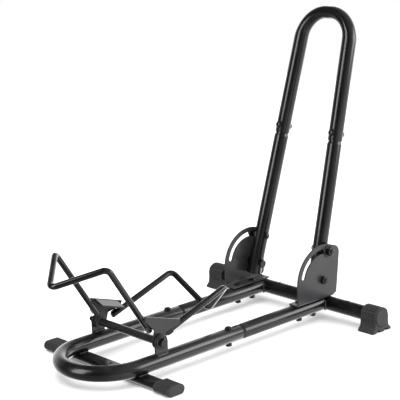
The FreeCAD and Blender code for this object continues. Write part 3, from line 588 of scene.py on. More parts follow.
def eased(node: str, body: str, coat: Coat, width: float) -> None:
    """A pressed or cut piece with its CAD node's form and its edges eased.

    Args:
        node: CAD node that it stands for.
        body: CAD body that it moves with.
        coat: Its finish.
        width: Width of the eased edges.
    """
    work = bmesh.new()
    work.from_mesh(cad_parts[node].data)
    bmesh.ops.remove_doubles(work, verts=work.verts, dist=0.002 * MM)
    bmesh.ops.dissolve_limit(work, angle_limit=math.radians(0.5), verts=work.verts, edges=work.edges)
    bmesh.ops.recalc_face_normals(work, faces=work.faces)
    work.verts.index_update()
    skin = Skin()
    skin.points = [corner.co.copy() for corner in work.verts]
    skin.faces = [[corner.index for corner in face.verts] for face in work.faces]
    work.free()
    bevel = skin.piece(f"{node}_eased", body, coat, node).modifiers.new("eased_edges", "BEVEL")
    bevel.width, bevel.segments = width, 3
    bevel.limit_method, bevel.angle_limit = "ANGLE", math.radians(EDGE_ANGLE)
    bevel.use_clamp_overlap = bevel.harden_normals = True


# ------------------------------------------------------------------ shared plan
@dataclass(frozen=True)
class Plan:
    """Sizes and places that the sub-assemblies share, in metres, as the CAD frame has them."""

    crossbar_y: float
    tube: float = 12.7 * MM
    wall: float = 1.5 * MM
    swage: float = 11.1 * MM
    mouth_ease: float = 0.7 * MM
    axis: float = 25 * MM
    rail_x: float = 74 * MM
    neck: float = 5 * MM
    lead: float = 1.5 * MM
    splice_depth: float = 50 * MM
    hoop_half: float = 72 * MM
    lean: float = math.radians(15.8)
    splay: float = math.radians(2.341)

    def y(self, ahead: float) -> float:
        """Place along the rack, from millimetres ahead of the crossbar's axis."""
        return self.crossbar_y - ahead * MM

    @property
    def bar_y(self) -> float:
        """Place of the front foot bar along the rack."""
        return self.y(418.0)

    @property
    def rail_top(self) -> float:
        """Height of the rails' tops."""
        return self.axis + self.tube

    @property
    def rail_bottom(self) -> float:
        """Height of the rails' undersides."""
        return self.axis - self.tube

    @property
    def hoop_pivot(self) -> Vector:
        """Middle of the hoop's hinge."""
        return Vector((0, self.y(20), 72.7 * MM))

    @property
    def cradle_pivot(self) -> Vector:
        """Middle of the cradle's hinge."""
        return Vector((0, self.y(379), 55 * MM))

    @property
    def hoop_up(self) -> Vector:
        """Direction up the leaning hoop."""
        return Vector((0, math.sin(self.lean), math.cos(self.lean)))

    @property
    def hoop_back(self) -> Vector:
        """Direction square to the hoop, to the rear."""
        return Vector((0, math.cos(self.lean), -math.sin(self.lean)))

    @property
    def open_end(self) -> Profile:
        """Mouth of a tube that another one enters."""
        return open_mouth(self.tube, self.wall, self.mouth_ease)

    def leg_point(self, sign: int, along: float) -> Vector:
        """Point on the axis of one side's hoop leg, at a distance up it from the pivot."""
        across = sign * (self.hoop_half - along * math.sin(self.splay))
        return self.hoop_pivot + Vector((across, 0, 0)) + self.hoop_up * (along * math.cos(self.splay))

    def necked(self, start: float, splice: float) -> list[tuple[float, float]]:
        """Course of a tube that is necked down to enter another.

        Args:
            start: Where it starts, along its axis.
            splice: Where the other tube's mouth is.

        Returns:
            Places along it, with the radius at each.
        """
        throat = splice - self.lead
        shoulder = throat - self.neck
        return [(start, self.tube), (shoulder, self.tube), (shoulder + 0.9 * MM, self.tube - 0.12 * MM),
                (throat - 0.8 * MM, self.swage + 0.16 * MM), (throat, self.swage),
                (splice + self.splice_depth, self.swage)]


# ------------------------------------------------------------------ base frame
@dataclass
class BaseFrame:
    """Bent front tube, rear rails, crossbar, foot bar and ears, with their welds."""

    plan: Plan
    splice: float = 209.0
    front_bend: float = 423.5
    ear_half: float = 12.5 * MM
    ease: float = 0.45 * MM

    def front_tube(self) -> None:
        """U-bent front tube with rounded open mouths."""
        plan, skin = self.plan, Skin()
        mouth, nose = plan.y(self.splice), plan.y(self.front_bend) - plan.rail_x
        line = bent_line([(Vector((sign * plan.rail_x, y, plan.axis)), radius) for sign, y, radius in (
            (1, mouth, 0), (1, nose, plan.rail_x), (-1, nose, plan.rail_x), (-1, mouth, 0))], 3.0)
        skin.swept(line, [plan.tube] * len(line), ACROSS, (plan.open_end, plan.open_end))
        skin.piece("front_tube", "base", Coat.FRAME, "front_rail_loop")

    def rear_rails(self) -> None:
        """Two rails, fitted round the crossbar and necked down into the front tube."""
        plan, turns = self.plan, round_angles(TUBE_SIDES)
        for sign, hand in HANDS:
            root, skin = Vector((sign * plan.rail_x, plan.crossbar_y, plan.axis)), Skin()
            saddle = [point - REARWARD * (plan.tube * abs(math.cos(turn)))
                      for point, turn in zip(circle(root, plan.tube, turns, ACROSS), turns)]
            stops = plan.necked(0.0, self.splice * MM)[1:]
            skin.loft([saddle] + [circle(root - REARWARD * run, radius, turns, ACROSS)
                                  for run, radius in stops])
            skin.piece(f"rear_rail_tube_{hand}", "base", Coat.FRAME, f"rear_rail_{hand}")

    def welds(self) -> None:
        """Beads where rails, crossbar, foot bar and ears meet."""
        plan, skin = self.plan, Skin()
        for sign in SIDES:
            corner = Vector((sign * plan.rail_x, plan.crossbar_y, plan.axis))
            for out, low, high in ((1, -80, 40), (-1, -80, 62)):
                turns = radians_of(low + (high - low) * step / 24 for step in range(25))
                reach = Vector((out * (plan.tube + 0.4 * MM), -plan.tube - 0.2 * MM, 0))
                seam = circle(corner, 1.0, turns, reach, UP * (plan.tube + 0.1 * MM))
                skin.weld(seam, 1.9 * MM, REARWARD, 3 * sign + out + 7)
            for side in (-1, 1):
                x, half = sign * plan.rail_x + side * 4.6 * MM, REARWARD * (10 * MM)
                middle = Vector((x, plan.bar_y, plan.rail_bottom + 0.75 * MM))
                skin.weld([middle - half, middle + half], 1.7 * MM, ACROSS, 11 + sign + 5 * side)
            for edge, height in ((80.3, 35.7), (75.4, 38.2)):
                middle = Vector((sign * edge * MM, plan.cradle_pivot.y, height * MM))
                half = REARWARD * (0.94 * self.ear_half)
                skin.weld([middle - half, middle + half], 2.0 * MM, ACROSS, int(edge) + sign)
        skin.piece("base_welds", "base", Coat.WELD, crease=60.0)

    def build(self) -> None:
        """Make every piece of the base frame."""
        self.front_tube()
        self.rear_rails()
        for node in ("rear_crossbar", "front_foot_bar"):
            eased(node, "base", Coat.FRAME, self.ease)
        for hand in ("left", "right"):
            eased(f"cradle_ear_{hand}", "base", Coat.PLATE, self.ease)
            eased(f"quadrant_bracket_{hand}", "base", Coat.BRACKET, self.ease)
        self.welds()


# ------------------------------------------------------------------ moulded feet
@dataclass
class Moulding:
    """Grooved plastic moulding pushed over a tube's end, lofted along X from its outline."""

    outline: list[Vector]
    socket: list[Vector]
    grooves: list[Vector]
    groove: float
    inner: float
    outer: float
    ease: float = 1.1 * MM
    socket_depth: float = 5 * MM

    def section(self, inset: float, depth: float) -> list[Vector]:
        """The outline, moved in and grooved.

        Args:
            inset: How far it is moved in.
            depth: Share of the grooves' depth.

        Returns:
            Points with Y and Z filled in.
        """
        count, made = len(self.outline), []
        for index, point in enumerate(self.outline):
            run = self.outline[(index + 1) % count] - self.outline[index - 1]
            inward = Vector((0, -run.z, run.y)).normalized()
            cut = max(max(0.0, self.groove ** 2 - (point - centre).length_squared) for centre in self.grooves)
            made.append(point + inward * (inset + depth * math.sqrt(cut)))
        return made

    def stations(self) -> list[tuple[float, float, float]]:
        """Places along the moulding where its section changes.

        Returns:
            Places across the rack, each with its inset and its share of the grooves' depth.
        """
        inner, outer, ease = self.inner, self.outer, self.ease
        made = [(inner, 0.6 * ease, 0.0), (inner + 0.18 * ease, 0.18 * ease, 0.0),
                (inner + 0.6 * ease, 0.0, 0.0)]
        made += [(inner + run * MM, 0.0, depth) for run, depth in ((2.2, 0.0), (3.0, 0.85), (3.8, 1.0))]
        made += [(outer - run * MM, 0.0, depth) for run, depth in ((5.4, 1.0), (4.6, 0.85), (4.0, 0.0))]
        return made + [(outer - ease + ease * math.sin(turn), ease * (1 - math.cos(turn)), 0.0)
                       for turn in radians_of(22.5 * step for step in range(5))]

    def build(self, name: str, node: str, sign: int, disc: tuple[Vector, Profile] | None) -> None:
        """Make the moulding.

        Args:
            name: The piece's name.
            node: CAD node that it replaces.
            sign: Side of the rack.
            disc: Centre of the raised disc on its end, with its radii and places across.
        """
        skin = Skin()

        def at(places: Iterable[Vector], x: float) -> list[Vector]:
            """Points moved to a place across the rack, on the moulding's side."""
            return [Vector((sign * x, place.y, place.z)) for place in places]

        rows = skin.loft([at(self.section(inset, depth), x) for x, inset, depth in self.stations()],
                         first=False, last=disc is None)
        mouth = skin.loft([at(self.socket, self.inner), at(self.socket, self.inner + self.socket_depth)],
                          first=False)
        skin.span(rows[0], mouth[0])
        if disc:
            centre, profile = disc
            face = skin.loft([at(circle(centre, radius, round_angles(72)), x) for radius, x in profile],
                             first=False)
            skin.span(rows[-1], face[0])
        skin.piece(name, "base", Coat.FOOT, node, 38.0)


# Half of a rear foot's outline, from under its middle to its crown: across, up and bend radius, in mm.
FOOT_SKIRT = ((0, 0, 0), (5.5, 0, 0.5), (6.5, 4, 0.8), (12.5, 4, 0.8), (13.5, 0, 0.5), (23.5, 0, 0.7),
              (23.5, 3, 0.9), (17.5, 9, 3.0), (15.155, 33.75, 0))
# Angles of the grooves over the crown, and places of those down the skirts: across and up from the axis, mm.
CROWN_GROOVES = (42, 58, 74, 90, 106, 122, 138)
SKIRT_GROOVES = ((15.32, 7.0), (15.79, 2.0), (16.26, -3.0), (16.74, -8.0))
# Raised disc on a rear foot's end: radii and places across the rack, in mm.
FOOT_DISC = ((16.0, 202.0), (15.75, 201.5), (15.5, 201.1), (15.25, 201.3), (15.1, 202.2), (14.9, 202.75),
             (14.4, 203.0), (13.0, 203.0))


@dataclass
class RackFeet:
    """Rear feet over the crossbar and flat caps over the foot bar."""

    plan: Plan
    arch: float = 17.5 * MM
    socket: float = 12.75 * MM
    foot_inner: float = 169 * MM
    foot_face: float = 202 * MM
    foot_groove: float = 1.5 * MM
    cap_inner: float = 119 * MM
    cap_outer: float = 155 * MM
    cap_width: float = 34 * MM
    cap_height: float = 16 * MM
    cap_groove: float = 1.2 * MM

    def rear_outline(self) -> list[Vector]:
        """Outline of a rear foot: arch, skirts with a flared lip, three lugs.

        Returns:
            Points round it.
        """
        skirt = [(Vector((0, across * MM, up * MM)), radius * MM) for across, up, radius in FOOT_SKIRT]
        right = bent_line(skirt, 15.0)
        crown = circle(UP * self.plan.axis, self.arch, radians_of(range(33, 148, 3)))
        left = [Vector((0, -point.y, point.z)) for point in reversed(right[1:])]
        shift = REARWARD * self.plan.crossbar_y
        return [point + shift for point in even_steps(right + crown + left, 0.45 * MM, True)]

    def rear(self) -> None:
        """Both rear feet."""
        centre = Vector((0, self.plan.crossbar_y, self.plan.axis))
        grooves = circle(centre, self.arch, radians_of(CROWN_GROOVES))
        grooves += [centre + Vector((0, side * across * MM, up * MM)) for side in SIDES
                    for across, up in SKIRT_GROOVES]
        moulding = Moulding(self.rear_outline(), circle(centre, self.socket, round_angles(64)), grooves,
                            self.foot_groove, self.foot_inner, self.foot_face)
        disc = (centre, [(radius * MM, x * MM) for radius, x in FOOT_DISC])
        for sign, hand in HANDS:
            moulding.build(f"rear_foot_moulding_{hand}", f"rear_foot_{hand}", sign, disc)

    def oval(self, centre: Vector, width: float, height: float, spacing: float) -> list[Vector]:
        """Flat oval in an upright plane.

        Args:
            centre: Its middle.
            width: Front to back.
            height: Top to bottom.
            spacing: Step between its points.

        Returns:
            Points round it.
        """
        ends = []
        for sign, start in ((1, -90), (-1, 90)):
            middle = centre + REARWARD * (sign * (width - height) / 2)
            ends += circle(middle, height / 2, radians_of(range(start, start + 181, 6)))
        return even_steps(ends, spacing, True)

    def front(self) -> None:
        """Both front caps."""
        radius = self.cap_height / 2
        middle = Vector((0, self.plan.bar_y, radius))
        grooves = [middle + Vector((0, step * 4 * MM, radius)) for step in range(-2, 3)]
        for end in SIDES:
            rim = middle + REARWARD * (end * (self.cap_width / 2 - radius))
            grooves += circle(rim, radius, radians_of((60, 30, 0)), REARWARD * end)
        socket = self.oval(Vector((0, self.plan.bar_y, 6.8 * MM)), 27.1 * MM, 11.1 * MM, 1.5 * MM)
        moulding = Moulding(self.oval(middle, self.cap_width, self.cap_height, 0.4 * MM), socket, grooves,
                            self.cap_groove, self.cap_inner, self.cap_outer, 1.8 * MM)
        for sign, hand in HANDS:
            moulding.build(f"front_cap_moulding_{hand}", f"front_foot_cap_{hand}", sign, None)

    def build(self) -> None:
        """Make the four mouldings."""
        self.rear()
        self.front()


# ------------------------------------------------------------------ fasteners
@dataclass(frozen=True)
class Hardware:
    """One size of bolt and nut, in metres."""

    shank: float
    flats: float
    head: float
    nut: float
    pitch: float


M8 = Hardware(4.0 * MM, 13.0 * MM, 5.3 * MM, 6.8 * MM, 1.25 * MM)
M6 = Hardware(3.0 * MM, 10.0 * MM, 3.6 * MM, 4.2 * MM, 1.0 * MM)
DOME_WIDE, DOME_TALL = 6.2 * MM, 3.6 * MM


@dataclass
class FastenerSet:
    """Bolts, nuts and washers of one CAD node, made as one piece."""

    name: str
    node: str
    body: str
    coat: Coat = Coat.BOLT
    skin: Skin = field(default_factory=Skin)

    def hexagon(self, place: Matrix, flats: float, low: float, high: float, bore: float = 0.0) -> None:
        """Hexagon with turned chamfers, solid or bored.

        Args:
            place: Its axis.
            flats: Across flats.
            low: Lower face along the axis.
            high: Upper face along the axis.
            bore: Radius of its bore, or 0.
        """
        turns = round_angles(72)
        radii = [flats / 2 / math.cos((turn + math.pi / 6) % (math.pi / 3) - math.pi / 6) for turn in turns]
        reach, lead = flats / 2 * 0.97, 0.55 * MM
        drops = [max(0.0, radius - reach) * math.tan(math.radians(30)) for radius in radii]

        def level(height: float, radius: float) -> list[Vector]:
            """Round row at one height."""
            return [spun(place, turn, radius, height) for turn in turns]

        def corners(height: float, sign: int) -> list[Vector]:
            """Six-cornered row that the chamfer draws in from a height."""
            return [spun(place, turn, radius, height + sign * drop)
                    for turn, radius, drop in zip(turns, radii, drops)]

        rows = [level(low, reach), corners(low, 1), corners(high, -1), level(high, reach)]
        if bore:
            rows += [level(high, bore + lead), level(high - lead, bore), level(low + lead, bore),
                     level(low, bore + lead)]
        self.skin.loft(rows, ring=bool(bore))

    def shank(self, place: Matrix, kit: Hardware, length: float, tail: float) -> None:
        """Bolt shank from its seat, with a cut thread towards its end.

        Args:
            place: Where the head seats.
            kit: Size of the bolt.
            length: Length from the seat.
            tail: Length of thread that shows past the nut.
        """
        depth, turns, rows = 0.56 * kit.pitch, round_angles(24), []
        thread, lead_in = length - tail - 2 * MM, length - 0.8 * MM
        count = max(2, math.ceil((lead_in - thread) / (kit.pitch / 6)))
        heights = [-0.5 * MM, thread - kit.pitch / 4]
        heights += [thread + (lead_in - thread) * step / count for step in range(count + 1)]
        for height in heights:
            row = []
            for turn in turns:
                wave = abs(((height - thread) / kit.pitch - turn / math.tau) % 1.0 - 0.5) * 2
                radius = kit.shank - (depth * (1 - wave) if height >= thread else 0.0)
                row.append(spun(place, turn, radius, height))
            rows.append(row)
        core, chamfer = kit.shank - depth, 0.5 * MM
        for radius, height in ((core, length - chamfer), (core - chamfer, length)):
            rows.append([spun(place, turn, radius, height) for turn in turns])
        self.skin.loft(rows)

    def hex_bolt(self, place: Matrix, kit: Hardware, length: float, tail: float) -> None:
        """Bolt with a hexagon head behind its seat, by its length and its shown thread."""
        self.hexagon(place, kit.flats, -kit.head, 0.0)
        self.shank(place, kit, length, tail)

    def dome_bolt(self, place: Matrix, kit: Hardware, length: float, tail: float) -> None:
        """Bolt with a domed head and a thin flange.

        Args:
            place: Where the head seats.
            kit: Size of the bolt.
            length: Shank length.
            tail: Length of the shown thread.
        """
        wide, tall, rim = DOME_WIDE, DOME_TALL, 1.0 * MM
        profile = [(wide - 0.3 * MM, 0.0), (wide, -0.3 * MM), (wide, -0.75 * MM), (wide - 0.35 * MM, -rim)]
        profile += [((wide - 0.6 * MM) * math.cos(turn), -rim - (tall - rim) * math.sin(turn))
                    for turn in radians_of(90 * step / 9 for step in range(1, 9))]
        self.skin.turned([*profile, (0.4 * MM, -tall)], place)
        self.shank(place, kit, length, tail)

    def nut(self, place: Matrix, kit: Hardware) -> None:
        """Nut from the place along its Z axis."""
        self.hexagon(place, kit.flats, 0.0, kit.nut, kit.shank - 0.1 * MM)

    def ring(self, place: Matrix, outer: float, thickness: float, bore: float = 4.1 * MM) -> None:
        """Washer, spacer or bush with rounded edges.

        Args:
            place: Its lower face.
            outer: Outside radius.
            thickness: Length along the axis.
            bore: Radius of its hole.
        """
        ease = min(0.4 * MM, thickness * 0.3)
        part = ease * ARC_PART
        lower = [(bore, ease), (bore + part, part), (bore + ease, 0.0), (outer - ease, 0.0),
                 (outer - part, part), (outer, ease)]
        upper = [(radius, thickness - height) for radius, height in reversed(lower)]
        self.skin.turned(upper[-1:] + lower + upper[:-1], place, ring=True, sides=56)

    def finish(self) -> None:
        """Turn the gathered fasteners into one dressed piece."""
        self.skin.piece(self.name, self.body, self.coat, self.node, 28.0)


@contextmanager
def fasteners(body: str, *nodes: str) -> Iterator[list[FastenerSet]]:
    """Empty sets for some CAD nodes, each named after its node and turned into a piece at the block's end.

    Args:
        body: CAD body that they move with.
        nodes: The nodes, whose names end in a plural.

    Yields:
        The sets.
    """
    sets = [FastenerSet(f"{node[:-1]}_set", node, body) for node in nodes]
    yield sets
    for made in sets:
        made.finish()


@dataclass
class RackHardware:
    """Every bolt, nut, washer, spacer and bush of the rack."""

    plan: Plan
    thread_tail: float = 2.2 * MM
    small_tail: float = 1.3 * MM
    slot_radius: float = 50 * MM
    bracket_sheet: float = 3 * MM
    bracket_outer: float = 89.3 * MM
    washer: float = 1.6 * MM
    washer_radius: float = 11 * MM
    cradle_seat: float = 81.2 * MM

    def both(self, x: float, spot: Vector, outward: bool, spin: float) -> list[Matrix]:
        """Right and left place at a distance from the middle, with the Z axes outward or inward."""
        return [upright(Vector((sign * x, spot.y, spot.z)), ACROSS * (sign if outward else -sign), spin)
                for sign in SIDES]

    def through(self, bolts: FastenerSet, nuts: FastenerSet, seat: Vector, toward: Vector, reach: float,
                spin: float) -> None:
        """Small domed bolt from its seat through some reach of steel, and its nut on the far side."""
        bolts.dome_bolt(upright(seat, toward), M6, reach + M6.nut + self.small_tail, self.small_tail)
        nuts.nut(upright(seat + toward * reach, toward, spin), M6)

    def base_bolts(self) -> None:
        """Bolts through the brackets and the rail splices."""
        plan = self.plan
        for name, sheet, aheads, spin, step in (
            ("bracket", self.bracket_sheet, (66.0, 30.0), 5, 31),
            ("rail_splice", 0.0, (232.0,), 12, 19),
        ):
            with fasteners("base", f"{name}_bolts", f"{name}_nuts") as (bolts, nuts):
                for index, (sign, ahead) in enumerate((sign, ahead) for sign in SIDES for ahead in aheads):
                    seat = Vector((sign * plan.rail_x, plan.y(ahead), plan.rail_top + sheet))
                    self.through(bolts, nuts, seat, DOWN, 2 * plan.tube + sheet, spin + step * index)

    def cradle_bolts(self) -> None:
        """The cradle's long bolt with its washers, bushes and discs."""
        spot = self.plan.cradle_pivot
        bolt = FastenerSet("cradle_long_bolt", "cradle_pivot_bolt", "base")
        bolt.hex_bolt(self.both(self.cradle_seat, spot, False, 11)[0], M8, 177.2 * MM, 8.0 * MM)
        bolt.finish()
        nut = FastenerSet("cradle_long_nut", "cradle_pivot_nut", "base")
        nut.nut(self.both(self.cradle_seat, spot, True, 22)[1], M8)
        nut.finish()
        for name, node, body, coat, x, thickness in (
            ("cradle_washer_set", "cradle_outer_washers", "base", Coat.BOLT, 79.6 * MM, self.washer),
            ("cradle_bush_set", "cradle_bushes", "base", Coat.BUSH, 73.0 * MM, 3.0 * MM),
            ("cradle_disc_set", "cradle_inner_discs", "cradle", Coat.PLATE, 68.4 * MM, self.washer),
        ):
            rings = FastenerSet(name, node, body, coat)
            for place in self.both(x, spot, True, 0):
                rings.ring(place, self.washer_radius, thickness)
            rings.finish()

    def hoop_bolts(self) -> None:
        """Pivot, slot and splice bolts of the hoop."""
        plan, slope = self.plan, math.tan(self.plan.splay)
        tail, pivot, outer = self.thread_tail, plan.hoop_pivot, self.bracket_outer
        inner = outer - self.bracket_sheet
        head = plan.hoop_half - plan.tube - M8.flats / 2 * slope - 0.3 * MM
        thrust = plan.hoop_half + plan.tube + 8 * MM * slope + 0.3 * MM
        with fasteners("base", "hoop_pivot_bolts", "hoop_pivot_nuts", "hoop_pivot_washers") as sets:
            bolts, nuts, rings = sets
            for side in (0, 1):
                bolts.hex_bolt(self.both(head, pivot, True, 8)[side], M8, outer - head + M8.nut + tail, tail)
                nuts.nut(self.both(outer, pivot, True, 20)[side], M8)
                rings.ring(self.both(thrust, pivot, True, 0)[side], 8 * MM, inner - thrust)
        spot = pivot + plan.hoop_up * self.slot_radius
        leg = plan.hoop_half - self.slot_radius * slope
        head = leg - plan.tube - DOME_WIDE * slope - 0.1 * MM
        spacer = leg + plan.tube + 7 * MM * slope + 0.1 * MM
        seat = outer + self.washer
        with fasteners("hoop", "slot_bolts", "slot_nuts", "slot_spacers", "slot_washers") as sets:
            bolts, nuts, spacers, rings = sets
            for side in (0, 1):
                bolts.dome_bolt(self.both(head, spot, True, 14)[side], M8, seat - head + M8.nut + tail, tail)
                nuts.nut(self.both(seat, spot, True, 37)[side], M8)
                spacers.ring(self.both(spacer, spot, True, 0)[side], 7 * MM, inner - spacer)
                rings.ring(self.both(outer, spot, True, 0)[side], self.washer_radius, self.washer)
        with fasteners("hoop", "hoop_splice_bolts", "hoop_splice_nuts") as (bolts, nuts):
            for index, sign in enumerate(SIDES):
                seat = plan.leg_point(sign, 250 * MM) - plan.hoop_back * plan.tube
                self.through(bolts, nuts, seat, plan.hoop_back, 2 * plan.tube, 9 + 21 * index)

    def build(self) -> None:
        """Make all the hardware."""
        self.base_bolts()
        self.cradle_bolts()
        self.hoop_bolts()


# ------------------------------------------------------------------ folding hoop
@dataclass
class FoldingHoop:
    """Upper bent tube and two lower legs, spliced."""

    plan: Plan
    height: float = 455 * MM
    bend: float = 50 * MM
    splice: float = 237 * MM
    foot: float = 20 * MM
    flattening: float = 0.12

    def top_tube(self) -> None:
        """Upper tube, drawn slightly flat through its two bends."""
        plan, skin = self.plan, Skin()
        corner = self.height / math.cos(plan.splay)
        line = bent_line([(plan.leg_point(sign, along), radius) for sign, along, radius in (
            (1, self.splice, 0), (1, corner, self.bend), (-1, corner, self.bend), (-1, self.splice, 0))], 3.0)
        count = len(line)

        def squeeze(index: int) -> float:
            """Height over width at a point of the line."""
            turned = min(1.0, max(0.0, min(index - 1, count - 2 - index) / 9))
            return 1.0 - self.flattening * turned * turned * (3 - 2 * turned)

        skin.swept(line, [plan.tube] * count, plan.hoop_back, (plan.open_end, plan.open_end), squeeze=squeeze)
        skin.piece("hoop_upper_tube", "hoop", Coat.FRAME, "hoop_top_tube")

    def legs(self) -> None:
        """Lower legs, open below and necked down at the top."""
        plan = self.plan
        stops = plan.necked(-self.foot, self.splice)
        mouths = open_mouth(plan.tube, plan.wall, 0.5 * MM), shut_mouth(plan.swage)
        for sign, hand in HANDS:
            skin = Skin()
            skin.swept([plan.leg_point(sign, along) for along, _ in stops], [radius for _, radius in stops],
                       plan.hoop_back, mouths)
            skin.piece(f"hoop_lower_leg_{hand}", "hoop", Coat.FRAME, f"hoop_leg_{hand}")

    def build(self) -> None:
        """Make the hoop."""
        self.top_tube()
        self.legs()


# ------------------------------------------------------------------ wheel cradle
def sloped(angle: float, ahead: bool) -> Vector:
    """Direction in the middle plane, by degrees above level, forward or to the rear."""
    turn = math.radians(angle)
    return Vector((0, -math.cos(turn) if ahead else math.cos(turn), math.sin(turn)))


@dataclass
class WheelCradle:
    """Two wire loops on a pair of tilting side plates."""

    plan: Plan
    rod: float = 5 * MM
    arm_x: float = 65 * MM
    arm: float = 160 * MM
    arm_start: float = 21 * MM
    front_arm: Vector = field(default_factory=lambda: sloped(57.5, True))
    rear_arm: Vector = field(default_factory=lambda: sloped(18.5, False))

    def loop(self, name: str, node: str, arm: Vector, vee: Vector) -> None:
        """One wire loop.

        Args:
            name: The piece's name.
            node: CAD node that it replaces.
            arm: Direction of its arms.
            vee: From its shoulders' middle to its point.
        """
        pivot, out = self.plan.cradle_pivot, ACROSS * self.arm_x
        start, shoulder = pivot + arm * self.arm_start, pivot + arm * self.arm
        line = bent_line([(start + out, 0), (shoulder + out, 10 * MM), (shoulder + vee, 12 * MM),
                          (shoulder - out, 10 * MM), (start - out, 0)], 6.0)
        skin, mouth = Skin(), shut_mouth(self.rod)
        skin.swept(line, [self.rod] * len(line), ACROSS, (mouth, mouth), 32)
        skin.piece(name, "cradle", Coat.WIRE, node)

    def welds(self) -> None:
        """Beads that hold the wire to the plates and the tube to its discs."""
        skin, pivot = Skin(), self.plan.cradle_pivot
        for sign in SIDES:
            for index, arm in enumerate((self.front_arm, self.rear_arm)):
                for edge in (-1, 1):
                    start = pivot + arm.cross(ACROSS) * (edge * 3.7 * MM) + ACROSS * (sign * 69.3 * MM)
                    seam = [start + arm * reach for reach in (22.5 * MM, 35.0 * MM)]
                    skin.weld(seam, 1.25 * MM, ACROSS, 40 + 3 * index + sign + edge)
            around = circle(pivot + ACROSS * (sign * 68.0 * MM), 7.0 * MM, round_angles(40))
            skin.weld(around, 1.2 * MM, ACROSS, 60 + sign, ring=True)
        skin.piece("cradle_welds", "cradle", Coat.WELD, crease=60.0)

    def build(self) -> None:
        """Make the cradle."""
        self.loop("cradle_front_wire", "cradle_front_loop", self.front_arm, sloped(-25.0, True) * (67.5 * MM))
        self.loop("cradle_rear_wire", "cradle_rear_loop", self.rear_arm, sloped(-69.8, False) * (61.0 * MM))
        # The cross tube takes the lighter plate coat: partly the cradle's plate finish, partly a painted
        # highlight for the lit band along its top.
        eased("cradle_cross_tube", "cradle", Coat.PLATE, 0.3 * MM)
        for hand in ("left", "right"):
            eased(f"cradle_plate_{hand}", "cradle", Coat.PLATE, 0.45 * MM)
        self.welds()


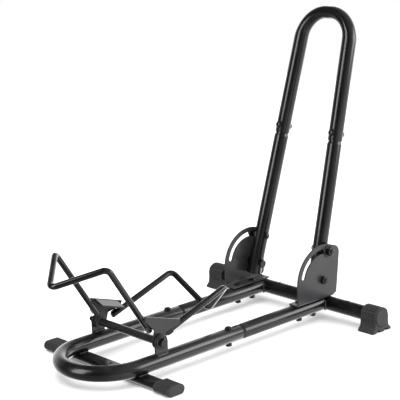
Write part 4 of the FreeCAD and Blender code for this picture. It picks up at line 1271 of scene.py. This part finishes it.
# ------------------------------------------------------------------ studio
@dataclass
class Studio:
    """Pale floor, soft lights and the camera at the photograph's angle."""

    azimuth: float = 47.63
    elevation: float = 13.94
    roll: float = -2.09
    place: Colour = (1.56484, -1.43847, 0.76284)
    lens: float = 120.56
    dim: float = 0.03
    ambient: float = 1.3
    floor_half: float = 2.2
    floor_drop: float = 0.15 * MM

    def camera(self) -> None:
        """Camera where the photograph was taken from."""
        data = bpy.data.cameras.new("camera")
        data.lens, data.sensor_width, data.clip_end = self.lens, 36.0, 60.0
        az, el, roll = radians_of((self.azimuth, self.elevation, self.roll))
        back = Vector((math.sin(az) * math.cos(el), -math.cos(az) * math.cos(el), math.sin(el)))
        level = Vector((math.cos(az), math.sin(az), 0))
        top = back.cross(level)
        right = level * math.cos(roll) + top * math.sin(roll)
        up = top * math.cos(roll) - level * math.sin(roll)
        camera = bpy.data.objects.new("camera", data)
        camera.matrix_world = Matrix.Translation(self.place) @ Matrix((right, up, back)).transposed().to_4x4()
        bpy.context.scene.collection.objects.link(camera)
        bpy.context.scene.camera = camera

    def softbox(self, name: str, place: Colour, height: float, size: tuple[float, float], power: float,
                lights: bool = True, mirrored: bool = True) -> None:
        """Large soft light that looks at a point on the rack's upright axis.

        Args:
            name: Its name.
            place: Where it hangs.
            height: Height of the point that it looks at.
            size: Width and height.
            power: Watts.
            lights: Whether it lights the pieces.
            mirrored: Whether the pieces mirror it.
        """
        data = bpy.data.lights.new(name, "AREA")
        data.shape, data.size, data.size_y, data.energy = "RECTANGLE", *size, power
        light = bpy.data.objects.new(name, data)
        light.location = place
        light.rotation_euler = (Vector(place) - UP * height).to_track_quat("Z", "Y").to_euler()
        light.visible_diffuse, light.visible_glossy = lights, mirrored
        bpy.context.scene.collection.objects.link(light)

    def world(self) -> None:
        """White backdrop, mirrored by the paint as a studio: bright behind and right, dark in front."""
        world = bpy.data.worlds.new("backdrop")
        bpy.context.scene.world = world
        world.use_nodes = True
        world.cycles.sampling_method = "NONE"
        wiring = Wiring(world.node_tree)
        turn = math.radians(self.azimuth)
        direction = wiring.node("ShaderNodeTexCoord", output="Generated")
        axes = (-math.sin(turn), math.cos(turn), 0.0), (math.cos(turn), math.sin(turn), 0.0), (0.0, 0.0, 1.0)
        away, right, up = (wiring.node("ShaderNodeVectorMath", {"operation": "DOT_PRODUCT"},
                                       {0: direction, 1: axis}, "Value") for axis in axes)
        backdrop = 1.9 * wiring.stretch(away, 0.3, 0.95) * (1.0 - wiring.stretch(up, 0.2, 0.6))
        side = 0.55 * wiring.stretch(right, -0.2, 0.6)
        lit_paper = wiring.stretch(right, 0.0, 0.7) * (1.0 - wiring.stretch(up, -0.25, -0.8))
        paper = wiring.stretch(up, 0.0, -0.3) * (0.3 + 0.7 * lit_paper)
        glossy, seen = (wiring.node("ShaderNodeLightPath", output=f"Is {ray} Ray")
                        for ray in ("Glossy", "Camera"))
        unseen = glossy * (self.dim + backdrop + side + paper) + (1.0 - glossy) * self.ambient
        light = wiring.node("ShaderNodeBackground", values={
            "Color": (1.0, 1.0, 1.0, 1.0), "Strength": seen + (1.0 - seen) * unseen})
        output = wiring.tree.nodes.new("ShaderNodeOutputWorld")
        wiring.feed(output.inputs["Surface"], light)

    def floor(self) -> None:
        """Plain pale floor just under the feet."""
        mesh = bpy.data.meshes.new("floor")
        half, height = self.floor_half, -self.floor_drop
        mesh.from_pydata([(x * half, y * half, height) for x, y in ((-1, -1), (1, -1), (1, 1), (-1, 1))], [],
                         [(0, 1, 2, 3)])
        floor = bpy.data.objects.new("floor", mesh)
        bpy.context.scene.collection.objects.link(floor)
        shader = Shader("floor_paper")
        shader.paint(base_color=shader.blend(shader.clouds(9.0, 2.0), (0.93, 0.93, 0.93), (0.95, 0.95, 0.95)),
                     roughness=0.85, specular_IOR_level=0.1)
        mesh.materials.append(shader.material)
        floor.visible_glossy = False

    def build(self) -> None:
        """Set up the studio."""
        self.camera()
        self.world()
        self.floor()
        self.softbox("top_light", (0.0, 0.0, 2.3), 0.0, (3.4, 3.4), 58.0, mirrored=False)
        self.softbox("side_light", (2.6, 0.9, 1.0), 0.15, (1.2, 1.2), 30.0, mirrored=False)
        self.softbox("right_softbox", (1.72, 1.70, 0.90), 0.2, (1.9, 1.25), 37.0, lights=False)
        self.softbox("front_softbox", (-0.50, -2.42, 1.25), 0.2, (1.2, 2.4), 52.0, lights=False)
        view = bpy.context.scene.view_settings
        view.view_transform, view.look = "Standard", "None"


def main() -> None:
    """Build the rack's pieces in order, placed from the crossbar's box in the CAD model."""
    logging.basicConfig(level=logging.INFO, format="%(name)s: %(message)s")
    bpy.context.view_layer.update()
    low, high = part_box("rear_crossbar")
    plan = Plan(crossbar_y=(low.y + high.y) / 2)
    pieces = (BaseFrame, RackFeet, RackHardware, FoldingHoop, WheelCradle)
    for part in (Studio(), *(kind(plan) for kind in pieces)):
        part.build()
        log.info("%s done", type(part).__name__)


if __name__ == "__main__":
    main()
